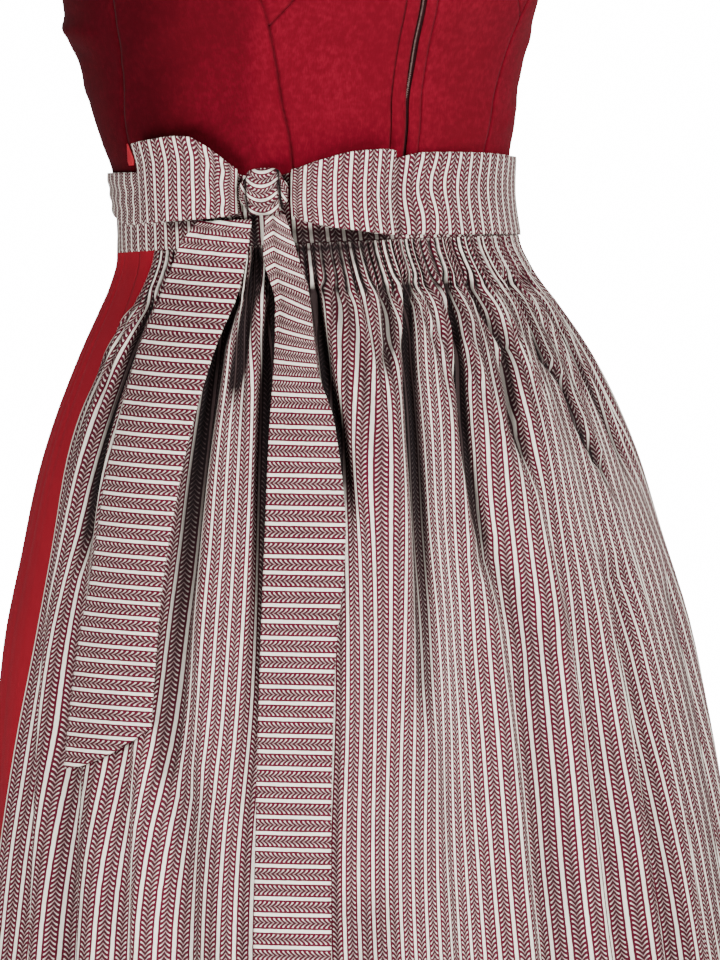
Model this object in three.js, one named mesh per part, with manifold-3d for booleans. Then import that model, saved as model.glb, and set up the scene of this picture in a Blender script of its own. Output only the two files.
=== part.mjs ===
// A folk dress (dirndl) with a tied apron: fitted zip-front bodice, full skirt, striped apron with a
// gauged top, and ties that wrap the waist and end in a bow with two tails.
//
// Millimetres, +Z up, front along -Y, wearer's left along +X. The origin lies midway between the
// two shoulder seams, where the wearer carries the dress. The dress is filled out and hollow.
//
// Every cloth wall lies on one body form. A point of it is named by three numbers: `turn`, degrees
// round the body (0 centre front, 90 wearer's left, 180 centre back, negative on the wearer's
// right), `height`, millimetres above the waist, and `out`, millimetres outside the form.
import * as THREE from 'three';
import { mergeVertices } from 'three/addons/utils/BufferGeometryUtils.js';
import Module from 'manifold-3d';

const wasm = await Module();
wasm.setup();

// ---------------------------------------------------------------- driving dimensions
const WAIST_Z = -390;               // waist level below the shoulder seams
const SEAM_GAP = 0.3;               // air between two pieces that are sewn together
const BODICE_CLOTH = 1.6;
const SKIRT_CLOTH = 1.2;
const APRON_CLOTH = 1.2;
const TIE_CLOTH = 1.5;              // ties and waistband are two layers of apron cloth
const WAIST_SEAM = -3;              // the bodice ends and the skirt begins under the waistband
const LAP_MIDDLE = 9;               // bodice and ties bend together at the waist seam and here
const SKIRT_HEM = -650;
const APRON_HEM = -612;
const NECKLINE = 212;               // centre-front neckline
const BACK_NECKLINE = 300;
const SHOULDER = 388;               // top of the straps
const WELT_TURN = 4.4;              // outer edge of each zip welt, about 9.6 mm from the centre
const ZIP_EDGE_TURN = 0.9;          // inner edge of each zip welt

// Layers round the waist, from the form outwards.
const APRON_OUT = 0.5;              // inner face of the apron
const BAND_OUT = 0.8 + TIE_CLOTH;   // outer face of the waistband and the first lap of the ties
const WRAP_OUT = BAND_OUT + 0.8 + TIE_CLOTH;  // outer face of the second lap

const GATHERS = 58;                 // gauged gathers across the apron
const GATHER_RISE = 1.5;
const GAUGING_TOP = -26.8;
const GAUGING_END = -56;

// Half width, half depth and depth offset of the body form at each height above the waist.
const FORM = [
  { height: -650, halfWidth: 243, front: 240, back: 240, lean: -6 },
  { height: -430, halfWidth: 220, front: 213, back: 213, lean: -5 },
  { height: -350, halfWidth: 212, front: 205, back: 205, lean: -4.5 },
  { height: -260, halfWidth: 200.5, front: 191.5, back: 191.5, lean: -4.5 },
  { height: -200, halfWidth: 187.5, front: 176, back: 176, lean: -4.5 },
  { height: -160, halfWidth: 178, front: 165, back: 165, lean: -4.5 },
  { height: -130, halfWidth: 168.5, front: 154, back: 154, lean: -4.5 },
  { height: -100, halfWidth: 156.5, front: 139.5, back: 139.5, lean: -4.5 },
  { height: -80, halfWidth: 147.5, front: 128, back: 128, lean: -4 },
  { height: -60, halfWidth: 137.5, front: 116, back: 116, lean: -3.5 },
  { height: -45, halfWidth: 130, front: 107.5, back: 107.5, lean: -2.5 },
  { height: -30, halfWidth: 125, front: 102, back: 102, lean: -1.5 },
  { height: -3, halfWidth: 123.6, front: 99.6, back: 99.6, lean: 0 },
  { height: 22, halfWidth: 124.6, front: 104.5, back: 104.5, lean: 0 },
  { height: 40, halfWidth: 128.5, front: 111.5, back: 111.5, lean: 2 },
  { height: 60, halfWidth: 132.5, front: 116.5, back: 116.5, lean: 4 },
  { height: 86, halfWidth: 137, front: 126, back: 126, lean: 4 },
  { height: 117, halfWidth: 141, front: 139, back: 136, lean: 3 },
  { height: 150, halfWidth: 145, front: 144, back: 136, lean: 2 },
  { height: 190, halfWidth: 146, front: 135, back: 132, lean: 0 },
  { height: 240, halfWidth: 142, front: 114, back: 122, lean: 0 },
  { height: 300, halfWidth: 134, front: 88, back: 102, lean: 0 },
  { height: 345, halfWidth: 128, front: 60, back: 74, lean: 0 },
  { height: 370, halfWidth: 125, front: 36, back: 44, lean: 0 },
  { height: 383, halfWidth: 124, front: 15, back: 19, lean: 0 },
  { height: 388, halfWidth: 124, front: 1.9, back: 1.9, lean: 0 },
];
const BUST = { turn: 45, height: 150, rise: 8, turnReach: 19, heightReach: 42 };

// ---------------------------------------------------------------- tables and the body form
const radians = THREE.MathUtils.degToRad;
const mix = THREE.MathUtils.lerp;

/** Smooth value of `column` at `key` in a table whose rows are sorted by `keyColumn`. */
function lookup(table, keyColumn, key, column) {
  const rising = table[0][keyColumn] < table[table.length - 1][keyColumn];
  const rows = rising ? table : [...table].reverse();
  const last = rows.length - 1;
  if (key <= rows[0][keyColumn]) return rows[0][column];
  if (key >= rows[last][keyColumn]) return rows[last][column];
  let i = 0;
  while (rows[i + 1][keyColumn] < key) i += 1;
  const slope = (a, b) => (rows[b][column] - rows[a][column]) / (rows[b][keyColumn] - rows[a][keyColumn]);
  const middle = slope(i, i + 1);
  const easing = (side) => (side * middle <= 0 ? 0 : 2 / (1 / side + 1 / middle));
  const startSlope = i > 0 ? easing(slope(i - 1, i)) : middle;
  const endSlope = i + 2 <= last ? easing(slope(i + 1, i + 2)) : middle;
  const span = rows[i + 1][keyColumn] - rows[i][keyColumn];
  const t = (key - rows[i][keyColumn]) / span;
  const t2 = t * t;
  const t3 = t2 * t;
  return rows[i][column] * (2 * t3 - 3 * t2 + 1) + rows[i + 1][column] * (3 * t2 - 2 * t3)
    + span * (startSlope * (t3 - 2 * t2 + t) + endSlope * (t3 - t2));
}

/** Signed difference of two turns, from -180 to 180 degrees. */
function turnBetween(a, b) {
  return THREE.MathUtils.euclideanModulo(a - b + 180, 360) - 180;
}

/** How far the bust fills the front of the form at a point. */
function bustRise(turn, height) {
  const upright = Math.exp(-(((height - BUST.height) / BUST.heightReach) ** 2));
  const side = (centre) => Math.exp(-((turnBetween(turn, centre) / BUST.turnReach) ** 2));
  return BUST.rise * upright * (side(BUST.turn) + side(-BUST.turn));
}

/** The point at `turn`, `height` and `out` as a vector in the part's frame. */
function onForm(turn, height, out) {
  const value = (column) => lookup(FORM, 'height', height, column);
  const angle = radians(turn);
  const depth = Math.cos(angle) > 0 ? value('front') : value('back');
  const reach = out + bustRise(turn, height);
  return new THREE.Vector3(
    (value('halfWidth') + reach) * Math.sin(angle),
    value('lean') - (depth + reach) * Math.cos(angle),
    WAIST_Z + height,
  );
}

/** Degrees of turn that `length` takes on the form near a point. */
function turnOf(length, turn, height) {
  const step = onForm(turn + 0.5, height, 0).distanceTo(onForm(turn - 0.5, height, 0));
  return length / step;
}

// ---------------------------------------------------------------- walls
/**
 * A closed cloth wall. `outerRows` and `innerRows` are lists of rows of points, bottom row first,
 * each row running in the direction of growing turn. Rows may differ in their number of points.
 */
function wallGeometry(outerRows, innerRows) {
  const points = [];
  const faces = [];
  const store = (rows) => rows.map((row) => row.map((point) => points.push(point) - 1));
  const strip = (lower, upper, flip) => {
    let i = 0;
    let j = 0;
    while (i < lower.length - 1 || j < upper.length - 1) {
      const nextLower = (i + 1) / (lower.length - 1);
      const nextUpper = (j + 1) / (upper.length - 1);
      const moveLower = j === upper.length - 1 || (i < lower.length - 1 && nextLower <= nextUpper);
      const face = moveLower ? [lower[i], lower[i + 1], upper[j]] : [lower[i], upper[j + 1], upper[j]];
      faces.push(flip ? face.reverse() : face);
      if (moveLower) i += 1;
      else j += 1;
    }
  };
  const outer = store(outerRows);
  const inner = store(innerRows);
  for (let k = 0; k + 1 < outer.length; k += 1) strip(outer[k], outer[k + 1], false);
  for (let k = 0; k + 1 < inner.length; k += 1) strip(inner[k], inner[k + 1], true);
  strip(inner[0], outer[0], false);
  strip(outer.at(-1), inner.at(-1), false);
  strip(outer.map((row) => row[0]), inner.map((row) => row[0]), false);
  strip(inner.map((row) => row.at(-1)), outer.map((row) => row.at(-1)), false);
  const geometry = new THREE.BufferGeometry();
  geometry.setAttribute('position', new THREE.Float32BufferAttribute(points.flatMap((p) => [p.x, p.y, p.z]), 3));
  geometry.setIndex(faces.flat());
  geometry.computeVertexNormals();
  return geometry;
}

/** `count` + 1 numbers from `from` to `to`. */
function steps(from, to, count) {
  return Array.from({ length: count + 1 }, (_, i) => mix(from, to, i / count));
}

/**
 * A panel of cloth on the form. Its rows lie at `levels`, from the bottom up. `edges(height)` gives
 * the turn of its first and last column, and `out(turn, height)` its outer face. `bottom(t)` and
 * `top(t)`, where given, shape the first and the last row at fraction t of the width.
 */
function panelGeometry({ columns, levels, edges, out, cloth, top, bottom }) {
  const heightAt = (row, t) => {
    if (row === 0 && bottom) return bottom(t);
    return row === levels.length - 1 && top ? top(t) : levels[row];
  };
  const rowsAt = (inset) => levels.map((_, row) => steps(0, 1, columns).map((t) => {
    const height = heightAt(row, t);
    const [first, last] = edges(height);
    const turn = mix(first, last, t);
    return onForm(turn, height, out(turn, height) - inset);
  }));
  return wallGeometry(rowsAt(0), rowsAt(cloth));
}

/** The same panel on the other side of the body. */
function mirrored(panel) {
  const flip = (edge) => edge && ((t) => edge(1 - t));
  return {
    ...panel,
    edges: (height) => panel.edges(height).map((turn) => -turn).reverse(),
    out: (turn, height) => panel.out(-turn, height),
    top: flip(panel.top),
  };
}

// ---------------------------------------------------------------- materials
const cloth = (color, roughness) => new THREE.MeshStandardMaterial({ color, roughness, metalness: 0 });
const velvetRed = cloth('#9b1a26', 0.9);
const skirtRed = cloth('#a51f2b', 0.85);
const stripeCloth = cloth('#8a3a4a', 0.8);
const tabRed = cloth('#d8252e', 0.7);
const zipTapeRed = cloth('#6e1420', 0.85);
const zipMetal = new THREE.MeshStandardMaterial({ color: '#b9b4a8', roughness: 0.35, metalness: 1 });

const dress = new THREE.Group();
dress.name = 'dirndl';

function add(name, geometry, material, parent = dress) {
  const mesh = new THREE.Mesh(geometry, material);
  mesh.name = name;
  parent.add(mesh);
  return mesh;
}

// ---------------------------------------------------------------- bodice
// Seam lines of the left half, as turns at each height. The cup seam leaves the princess seam at
// CUP_SEAM_START and runs to the neckline, and above it the cup's inner edge is the neck edge.
const CUP_SEAM_START = 103;
const SEAMS = [
  { height: -3, princess: 32, side: 90, backPrincess: 150 },
  { height: 40, princess: 33.8, side: 89.2, backPrincess: 149 },
  { height: 77, princess: 36.2, side: 84.5, backPrincess: 147 },
  { height: 103, princess: 39, side: 82.8, backPrincess: 146 },
  { height: 150, princess: 44.5, side: 82.5, backPrincess: 147 },
  { height: 190, princess: 45, side: 80, backPrincess: 149 },
  { height: 196, princess: 45, side: 74.5, backPrincess: 149.5 },
  { height: 209, princess: 45, side: 69.5, backPrincess: 150 },
  { height: 232, princess: 45, side: 65, backPrincess: 151 },
  { height: 300, princess: 44.5, side: 61, backPrincess: 151 },
  { height: 388, princess: 44, side: 61.5, backPrincess: 151 },
];
const CUP_SEAM = [
  { height: 103, turn: 39 },
  { height: 120, turn: 32.8 },
  { height: 150, turn: 26 },
  { height: 212, turn: 20 },
  { height: 232, turn: 27 },
  { height: 388, turn: 28.7 },
];
const BACK_ARMHOLE = [
  { height: 190, turn: 80 },
  { height: 196, turn: 89 },
  { height: 209, turn: 99 },
  { height: 235, turn: 110 },
  { height: 300, turn: 117 },
  { height: 388, turn: 118 },
];
const ARMHOLE_BOTTOM = 190;
const seam = (name, height) => lookup(SEAMS, 'height', height, name);
const halfGap = (turn, height) => turnOf(SEAM_GAP / 2, turn, height);

/** Inner edge of the cup and of the strap above it. */
const cupEdge = (height) => lookup(CUP_SEAM, 'height', height, 'turn');

/** Outer edge of the front centre panel: the princess seam, then the cup seam. */
const frontEdge = (height) => (height < CUP_SEAM_START ? seam('princess', height) : cupEdge(height));

const flat = () => 0;
const BODICE_LEVELS = [
  WAIST_SEAM + SEAM_GAP / 2, LAP_MIDDLE, 22, 40, 60, 82, 104, 120, 145, 170, ARMHOLE_BOTTOM, 196, 209, 235,
  BACK_NECKLINE, 340, 370, 383, SHOULDER - 0.1,
];
const upTo = (limit) => BODICE_LEVELS.filter((height) => height <= limit);

const BODICE_PANELS = {
  front: {
    columns: 4,
    levels: upTo(NECKLINE),
    edges: (height) => [WELT_TURN + 0.15, frontEdge(height) - halfGap(30, height)],
    top: (t) => NECKLINE - 3 * t * t,
  },
  cup: {
    columns: 3,
    levels: BODICE_LEVELS.filter((height) => height > CUP_SEAM_START),
    edges: (height) => [
      cupEdge(height) + halfGap(30, height),
      seam('princess', height) - halfGap(40, height),
    ],
  },
  side_front: {
    columns: 6,
    levels: BODICE_LEVELS,
    edges: (height) => [
      seam('princess', height) + halfGap(40, height),
      seam('side', height) - halfGap(85, height),
    ],
  },
  side_back: {
    columns: 7,
    levels: BODICE_LEVELS,
    edges: (height) => [
      (height < ARMHOLE_BOTTOM ? seam('side', height) : lookup(BACK_ARMHOLE, 'height', height, 'turn'))
        + halfGap(85, height),
      seam('backPrincess', height) - halfGap(150, height),
    ],
  },
};

for (const [piece, panel] of Object.entries(BODICE_PANELS)) {
  const left = { ...panel, out: flat, cloth: BODICE_CLOTH };
  add(`bodice_${piece}_left`, panelGeometry(left), velvetRed);
  add(`bodice_${piece}_right`, panelGeometry(mirrored(left)), velvetRed);
}

add('bodice_back', panelGeometry({
  columns: 8,
  levels: upTo(BACK_NECKLINE),
  edges: (height) => {
    const edge = seam('backPrincess', height) + halfGap(150, height);
    return [edge, 360 - edge];
  },
  out: flat,
  cloth: BODICE_CLOTH,
}), velvetRed);

// ---------------------------------------------------------------- zip
// Two welts meet the zip at the centre front. The backing tape lies behind them and the chain
// shows between them.
const zipLevels = (top) => [...upTo(NECKLINE - 4), top];
const weltLevels = zipLevels(NECKLINE);
const WELT_RISE = 0.3;
const welt = {
  columns: 2,
  levels: weltLevels,
  edges: () => [ZIP_EDGE_TURN, WELT_TURN - 0.15],
  out: () => WELT_RISE,
  cloth: 2,
};
add('zip_welt_left', panelGeometry(welt), velvetRed);
add('zip_welt_right', panelGeometry(mirrored(welt)), velvetRed);
add('zip_tape', panelGeometry({
  ...welt, columns: 4, levels: zipLevels(NECKLINE - 3), edges: () => [-6, 6], out: () => -2, cloth: 1,
}), zipTapeRed);
add('zip_chain', panelGeometry({
  ...welt, levels: zipLevels(NECKLINE - 6), edges: () => [-0.7, 0.7], out: () => -0.1, cloth: 1.5,
}), zipMetal);

// The slider stands on the welts near the top of the zip, and its bridge holds the pull.
const SLIDER_HEIGHT = 187;          // lower end of the slider above the waist
const SLIDER_BACK = -137.8;         // y of its back face
const PULL_AXIS = { height: 193.6, out: 3.2 };

/** A flat plate drawn as [across, along] points, `thick` deep, with optional holes. */
function plate(outline, thick, holes = []) {
  const toPath = (points) => points.map(([x, y]) => new THREE.Vector2(x, y));
  const shape = new THREE.Shape(toPath(outline));
  for (const hole of holes) shape.holes.push(new THREE.Path(toPath(hole)));
  return new THREE.ExtrudeGeometry(shape, { depth: thick, bevelEnabled: false, steps: 1 });
}
const rectangle = (x0, x1, y0, y1) => [[x0, y0], [x1, y0], [x1, y1], [x0, y1]];

/** Turns a three.js geometry into a manifold solid, and back. */
function toSolid(geometry) {
  const bare = geometry.clone();
  bare.deleteAttribute('normal');
  bare.deleteAttribute('uv');
  const merged = mergeVertices(bare, 1e-4);
  return new wasm.Manifold(new wasm.Mesh({
    numProp: 3,
    vertProperties: new Float32Array(merged.attributes.position.array),
    triVerts: new Uint32Array(merged.index.array),
  }));
}
function toGeometry(solid) {
  const { vertProperties, triVerts } = solid.getMesh();
  const geometry = new THREE.BufferGeometry();
  geometry.setAttribute('position', new THREE.BufferAttribute(vertProperties, 3));
  geometry.setIndex(new THREE.BufferAttribute(triVerts, 1));
  geometry.computeVertexNormals();
  return geometry;
}

// Slider drawn with x across, y up the zip and z outwards, then stood up on the bodice.
const sliderBody = plate(rectangle(-3, 3, 0, 10), 2.2);
const bridge = plate(rectangle(2.1, 5.2, 1.5, 9), 1.6, [rectangle(2.3, 4.2, 2.7, 7.8)]);
bridge.translate(0, 0, -0.8);
bridge.rotateY(-Math.PI / 2);
const slider = toSolid(sliderBody).add(toSolid(bridge));

const pullDrop = 19;
const pullPlate = plate(
  rectangle(-2.7, 2.7, 0.5 - pullDrop, 0.5), 1, [rectangle(-1.3, 1.3, -6.2, -0.5)],
);
pullPlate.translate(0, 0, -0.5);

/** Stands a piece drawn flat on the front of the bodice, `height` up and `out` from the slider's back. */
function standOnZip(mesh, height, out) {
  mesh.rotation.x = Math.PI / 2;
  mesh.position.set(0, SLIDER_BACK - out, WAIST_Z + height);
}
standOnZip(add('zip_slider', toGeometry(slider), zipMetal), SLIDER_HEIGHT, 0);
standOnZip(add('zip_pull', pullPlate, zipMetal), PULL_AXIS.height, PULL_AXIS.out);

// ---------------------------------------------------------------- skirt
// The skirt is gathered at the waist and hangs in soft folds that are pressed flat under the apron.
const SKIRT_LEVELS = [
  SKIRT_HEM, -530, -420, -320, -240, -180, -135, -100, -75, GAUGING_END, -43, -30,
  WAIST_SEAM - SEAM_GAP / 2,
];
const SKIRT_FOLDS = [
  { turn: 100, width: 5, rise: 10 },
  { turn: 112, width: 6, rise: 15 },
  { turn: 127, width: 5.5, rise: 12 },
  { turn: 141, width: 6.5, rise: 18 },
  { turn: 156, width: 5.5, rise: 14 },
  { turn: 170, width: 6.5, rise: 18 },
  { turn: 186, width: 6, rise: 15 },
  { turn: 201, width: 6.5, rise: 16 },
  { turn: 217, width: 5.5, rise: 14 },
  { turn: 231, width: 6.5, rise: 15 },
  { turn: 246, width: 5.5, rise: 10 },
  { turn: 258, width: 5, rise: 8 },
];

/** 0 at `start` and above, growing smoothly to 1 at `end`, which lies lower. */
const hang = (height, start, end) => THREE.MathUtils.smoothstep(-height, -start, -end);

/** Outer face of the skirt: folds that open towards the hem, behind the apron's edges only. */
function skirtOut(turn, height) {
  const open = hang(height, -40, SKIRT_HEM);
  return open * SKIRT_FOLDS.reduce((sum, fold) => (
    sum + fold.rise * Math.exp(-((turnBetween(turn, fold.turn) / fold.width) ** 2))
  ), 0);
}

const skirtHalf = { levels: SKIRT_LEVELS, cloth: SKIRT_CLOTH };
const SIDE_GAP = 0.06;              // half of the side seam's gap, in degrees
add('skirt_front', panelGeometry({
  ...skirtHalf, columns: 20, edges: () => [SIDE_GAP - 90, 90 - SIDE_GAP], out: () => 0,
}), skirtRed);
add('skirt_back', panelGeometry({
  ...skirtHalf, columns: 44, edges: () => [90 + SIDE_GAP, 270 - SIDE_GAP], out: skirtOut,
}), skirtRed);

// ---------------------------------------------------------------- apron
// The apron is gauged below its waistband, then falls in folds. Each row of APRON_FOLDS is one
// hollow between two folds: where it starts and ends, how wide it is and how deep, from 0 to 1.
const APRON_EDGE = [
  { height: -27, turn: 80.2 },
  { height: -50, turn: 83.1 },
  { height: -82, turn: 88.4 },
  { height: -113, turn: 92.2 },
  { height: -229, turn: 94 },
  { height: -340, turn: 99.5 },
  { height: -446, turn: 102.4 },
  { height: -650, turn: 105 },
];
const APRON_SWELL = [               // how far the tops of the folds stand out
  { height: -650, out: 9 },
  { height: -260, out: 7.5 },
  { height: -130, out: 6.5 },
  { height: -90, out: 5.5 },
  { height: -68, out: 3.5 },
  { height: GAUGING_END, out: 1.2 },
  { height: -27, out: 0 },
];
const APRON_FOLDS = [
  { top: -66, topTurn: -78, bottom: -190, bottomTurn: -82, width: 3, depth: 0.8 },
  { top: -70, topTurn: -51.4, bottom: -330, bottomTurn: -61.5, width: 3.2, depth: 1 },
  { top: -59, topTurn: -40.8, bottom: -230, bottomTurn: -43.8, width: 3, depth: 0.8 },
  { top: -62, topTurn: -29.3, bottom: -210, bottomTurn: -26, width: 3, depth: 1 },
  { top: -60, topTurn: -6.3, bottom: -270, bottomTurn: -18, width: 3.4, depth: 1 },
  { top: -75, topTurn: 2.2, bottom: -140, bottomTurn: -0.8, width: 2.6, depth: 0.8 },
  { top: -60, topTurn: 14.3, bottom: -130, bottomTurn: 8, width: 2.8, depth: 0.9 },
  { top: -68, topTurn: 27.2, bottom: -150, bottomTurn: 20.5, width: 3.2, depth: 1 },
  { top: -62, topTurn: 44, bottom: -170, bottomTurn: 39, width: 3.2, depth: 0.9 },
  { top: -72, topTurn: 61, bottom: -240, bottomTurn: 58, width: 3.4, depth: 1 },
  { top: -64, topTurn: 76, bottom: -150, bottomTurn: 74, width: 3, depth: 0.8 },
  { top: -230, topTurn: 5.2, bottom: -620, bottomTurn: 0, width: 5.5, depth: 0.9 },
  { top: -300, topTurn: -79, bottom: -650, bottomTurn: -82, width: 5, depth: 0.9 },
  { top: -350, topTurn: -56, bottom: -650, bottomTurn: -54, width: 5, depth: 0.9 },
  { top: -420, topTurn: -28, bottom: -650, bottomTurn: -27, width: 5, depth: 0.8 },
  { top: -240, topTurn: 34, bottom: -620, bottomTurn: 28, width: 5.5, depth: 0.9 },
  { top: -290, topTurn: 70, bottom: -640, bottomTurn: 66, width: 5.5, depth: 0.9 },
];
const FOLD_FADE = 22;               // a hollow fades in and out over this height

/** How deep the hollows are at a point, from 0 on a fold to 1 in a hollow. */
function hollow(turn, height) {
  const depth = APRON_FOLDS.reduce((sum, fold) => {
    const along = THREE.MathUtils.mapLinear(height, fold.top, fold.bottom, 0, 1);
    const centre = mix(fold.topTurn, fold.bottomTurn, THREE.MathUtils.clamp(along, 0, 1));
    const fade = hang(height, fold.top + FOLD_FADE, fold.top) * (1 - hang(height, fold.bottom, fold.bottom - FOLD_FADE));
    return sum + fold.depth * fade * Math.exp(-(((turn - centre) / fold.width) ** 2));
  }, 0);
  return Math.min(depth, 1);
}

const apronSwell = (height) => lookup(APRON_SWELL, 'height', height, 'out');
const apronInside = (turn, height) => APRON_OUT + apronSwell(height) * (1 - hollow(turn, height))
  + skirtOut(turn, height);

/** Points of one face of the apron at one level. Every second column is a gather's crest. */
function apronRow(height, columns, cloth, gatherRise = 0) {
  const edge = lookup(APRON_EDGE, 'height', height, 'turn');
  return steps(-edge, edge, columns).map((turn, i) => (
    onForm(turn, height, apronInside(turn, height) + cloth + (i % 2) * gatherRise)
  ));
}

const GAUGED_LEVELS = [GAUGING_END, -43, -30, GAUGING_TOP];
const HANGING_LEVELS = [APRON_HEM, ...SKIRT_LEVELS.filter((height) => height > APRON_HEM && height < GAUGING_END)];
const APRON_LEVELS = [...HANGING_LEVELS, ...GAUGED_LEVELS];
add('apron_skirt', wallGeometry(
  [
    ...HANGING_LEVELS.map((height) => apronRow(height, GATHERS, APRON_CLOTH)),
    ...GAUGED_LEVELS.map((height) => apronRow(height, 2 * GATHERS, APRON_CLOTH, GATHER_RISE)),
  ],
  APRON_LEVELS.map((height) => apronRow(height, GATHERS, 0)),
), stripeCloth);

// The waistband is sewn to the gauging. The ties run on from its ends, meet at the centre back,
// and come round again over the first lap to the bow on the wearer's right.
const BAND_TURN = 80.2;
const BAND_TOP = 20;
const BAND_BOTTOM = -26.5;
const KNOT_TURN = -40.3;
const KNOT_HALF_TURN = 7;
const LEFT_WRAP = [
  { turn: -33, top: 14, bottom: -12 },
  { turn: -12, top: 17, bottom: -21 },
  { turn: -1, top: 19, bottom: -24 },
  { turn: 5, top: 25.4, bottom: -24.5 },
  { turn: 24, top: 24.5, bottom: -25.5 },
  { turn: 58, top: 20.5, bottom: -26.5 },
  { turn: 120, top: 21, bottom: -26.5 },
  { turn: 180, top: 21, bottom: -24 },
];
const RIGHT_WRAP = [
  { turn: -180, top: 21, bottom: -16 },
  { turn: -150, top: 21.8, bottom: -7 },
  { turn: -117, top: 21.8, bottom: -3 },
  { turn: -90, top: 21, bottom: -10.5 },
  { turn: -65, top: 18, bottom: -10 },
  { turn: -47, top: 14, bottom: -9 },
];

/** A stretch of waistband or tie from `from` to `to`, shaped by its top and bottom edges. */
function lap(from, to, columns, topAt, bottomAt, outside) {
  const rows = [
    bottomAt,
    (turn) => Math.max(bottomAt(turn) + 1.5, WAIST_SEAM),
    () => LAP_MIDDLE,
    topAt,
  ];
  const rowsAt = (inset) => rows.map((heightAt) => steps(from, to, columns).map((turn) => (
    onForm(turn, heightAt(turn), outside - inset)
  )));
  return wallGeometry(rowsAt(0), rowsAt(TIE_CLOTH));
}
const bandTop = () => BAND_TOP;
const bandBottom = () => BAND_BOTTOM;
add('apron_waistband', lap(-BAND_TURN, BAND_TURN, 36, bandTop, bandBottom, BAND_OUT), stripeCloth);
const FIRST_LAP_END = 179.9;
const firstLapStart = BAND_TURN + 0.15;
add('apron_tie_inner_right', lap(-FIRST_LAP_END, -firstLapStart, 24, bandTop, bandBottom, BAND_OUT), stripeCloth);
add('apron_tie_inner_left', lap(firstLapStart, FIRST_LAP_END, 24, bandTop, bandBottom, BAND_OUT), stripeCloth);
const wrapEdge = (table, edge) => (turn) => lookup(table, 'turn', turn, edge);
add('apron_tie_outer_right', lap(
  -FIRST_LAP_END, KNOT_TURN - KNOT_HALF_TURN, 30,
  wrapEdge(RIGHT_WRAP, 'top'), wrapEdge(RIGHT_WRAP, 'bottom'), WRAP_OUT,
), stripeCloth);
add('apron_tie_outer_left', lap(
  KNOT_TURN + KNOT_HALF_TURN, FIRST_LAP_END, 48,
  wrapEdge(LEFT_WRAP, 'top'), wrapEdge(LEFT_WRAP, 'bottom'), WRAP_OUT,
), stripeCloth);

// ---------------------------------------------------------------- bow
// The bow lies on the second lap. `along` is the distance round the waist from the knot's middle.
const TURN_PER_MM = 0.5;
const LOOP_STEPS = 22;
const LOOP_ROWS = 2;
const LOOP_RIGHT = [                // out along the front of the loop, round its end and back
  { along: 14.6, out: 11, top: 17.6, bottom: -7 },
  { along: 28, out: 18, top: 31, bottom: -8 },
  { along: 45, out: 22, top: 38, bottom: -8.7 },
  { along: 62, out: 21, top: 41, bottom: -9.3 },
  { along: 74, out: 17, top: 39.5, bottom: -9.8 },
  { along: 78, out: 12.5, top: 39, bottom: -10 },
  { along: 73, out: 8.5, top: 39, bottom: -9.8 },
  { along: 58, out: 7.4, top: 39.5, bottom: -9 },
  { along: 36, out: 7.2, top: 34, bottom: -8.4 },
  { along: 14.6, out: 7, top: 17, bottom: -7 },
];
const LOOP_LEFT = [
  { along: 14.6, out: 11, top: 17.5, bottom: -10 },
  { along: 21, out: 14.5, top: 19.5, bottom: -13.6 },
  { along: 31, out: 17.5, top: 23, bottom: -17 },
  { along: 48, out: 19, top: 28, bottom: -20.6 },
  { along: 62, out: 16, top: 29, bottom: -23 },
  { along: 70, out: 11.5, top: 27, bottom: -24.3 },
  { along: 66, out: 7.8, top: 27.5, bottom: -24 },
  { along: 50, out: 7.3, top: 28, bottom: -20.8 },
  { along: 31, out: 7.2, top: 23, bottom: -17 },
  { along: 14.6, out: 7, top: 17, bottom: -10 },
];

/** A loop of the bow: a band that leaves the knot, turns round and comes back behind itself. */
function loopGeometry(table, side) {
  const curve = (edge) => new THREE.CatmullRomCurve3(
    table.map((row) => new THREE.Vector3(side * row.along, row.out, row[edge])),
  );
  const fractions = side > 0 ? steps(0, 1, LOOP_STEPS) : steps(1, 0, LOOP_STEPS);
  const sample = (edge) => fractions.map((t) => curve(edge).getPoint(t));
  const [top, bottom] = [sample('top'), sample('bottom')];
  const normals = top.map((_, i) => {
    const before = top[Math.max(i - 1, 0)];
    const after = top[Math.min(i + 1, LOOP_STEPS)];
    return new THREE.Vector2(before.y - after.y, after.x - before.x).normalize();
  });
  const rowsAt = (offset) => steps(0, 1, LOOP_ROWS).map((v) => top.map((point, i) => onForm(
    KNOT_TURN + (point.x + normals[i].x * offset) * TURN_PER_MM,
    mix(bottom[i].z, point.z, v),
    point.y + normals[i].y * offset,
  )));
  return wallGeometry(rowsAt(TIE_CLOTH / 2), rowsAt(-TIE_CLOTH / 2));
}
add('bow_loop_right', loopGeometry(LOOP_RIGHT, -1), stripeCloth);
add('bow_loop_left', loopGeometry(LOOP_LEFT, 1), stripeCloth);

// The knot is a soft block: a sphere pressed square, laid on the form.
const KNOT = { halfAlong: 13.8, height: 6.5, halfHeight: 14.5, out: 13.2, halfOut: 7.8, square: 0.75 };
function knotGeometry() {
  const geometry = new THREE.SphereGeometry(1, 14, 10);
  const position = geometry.attributes.position;
  const press = (value) => Math.sign(value) * Math.abs(value) ** KNOT.square;
  for (let i = 0; i < position.count; i += 1) {
    const point = onForm(
      KNOT_TURN + press(position.getX(i)) * KNOT.halfAlong * TURN_PER_MM,
      KNOT.height + press(position.getY(i)) * KNOT.halfHeight,
      KNOT.out + press(position.getZ(i)) * KNOT.halfOut,
    );
    position.setXYZ(i, point.x, point.y, point.z);
  }
  geometry.computeVertexNormals();
  return geometry;
}
add('bow_knot', knotGeometry(), stripeCloth);

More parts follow.
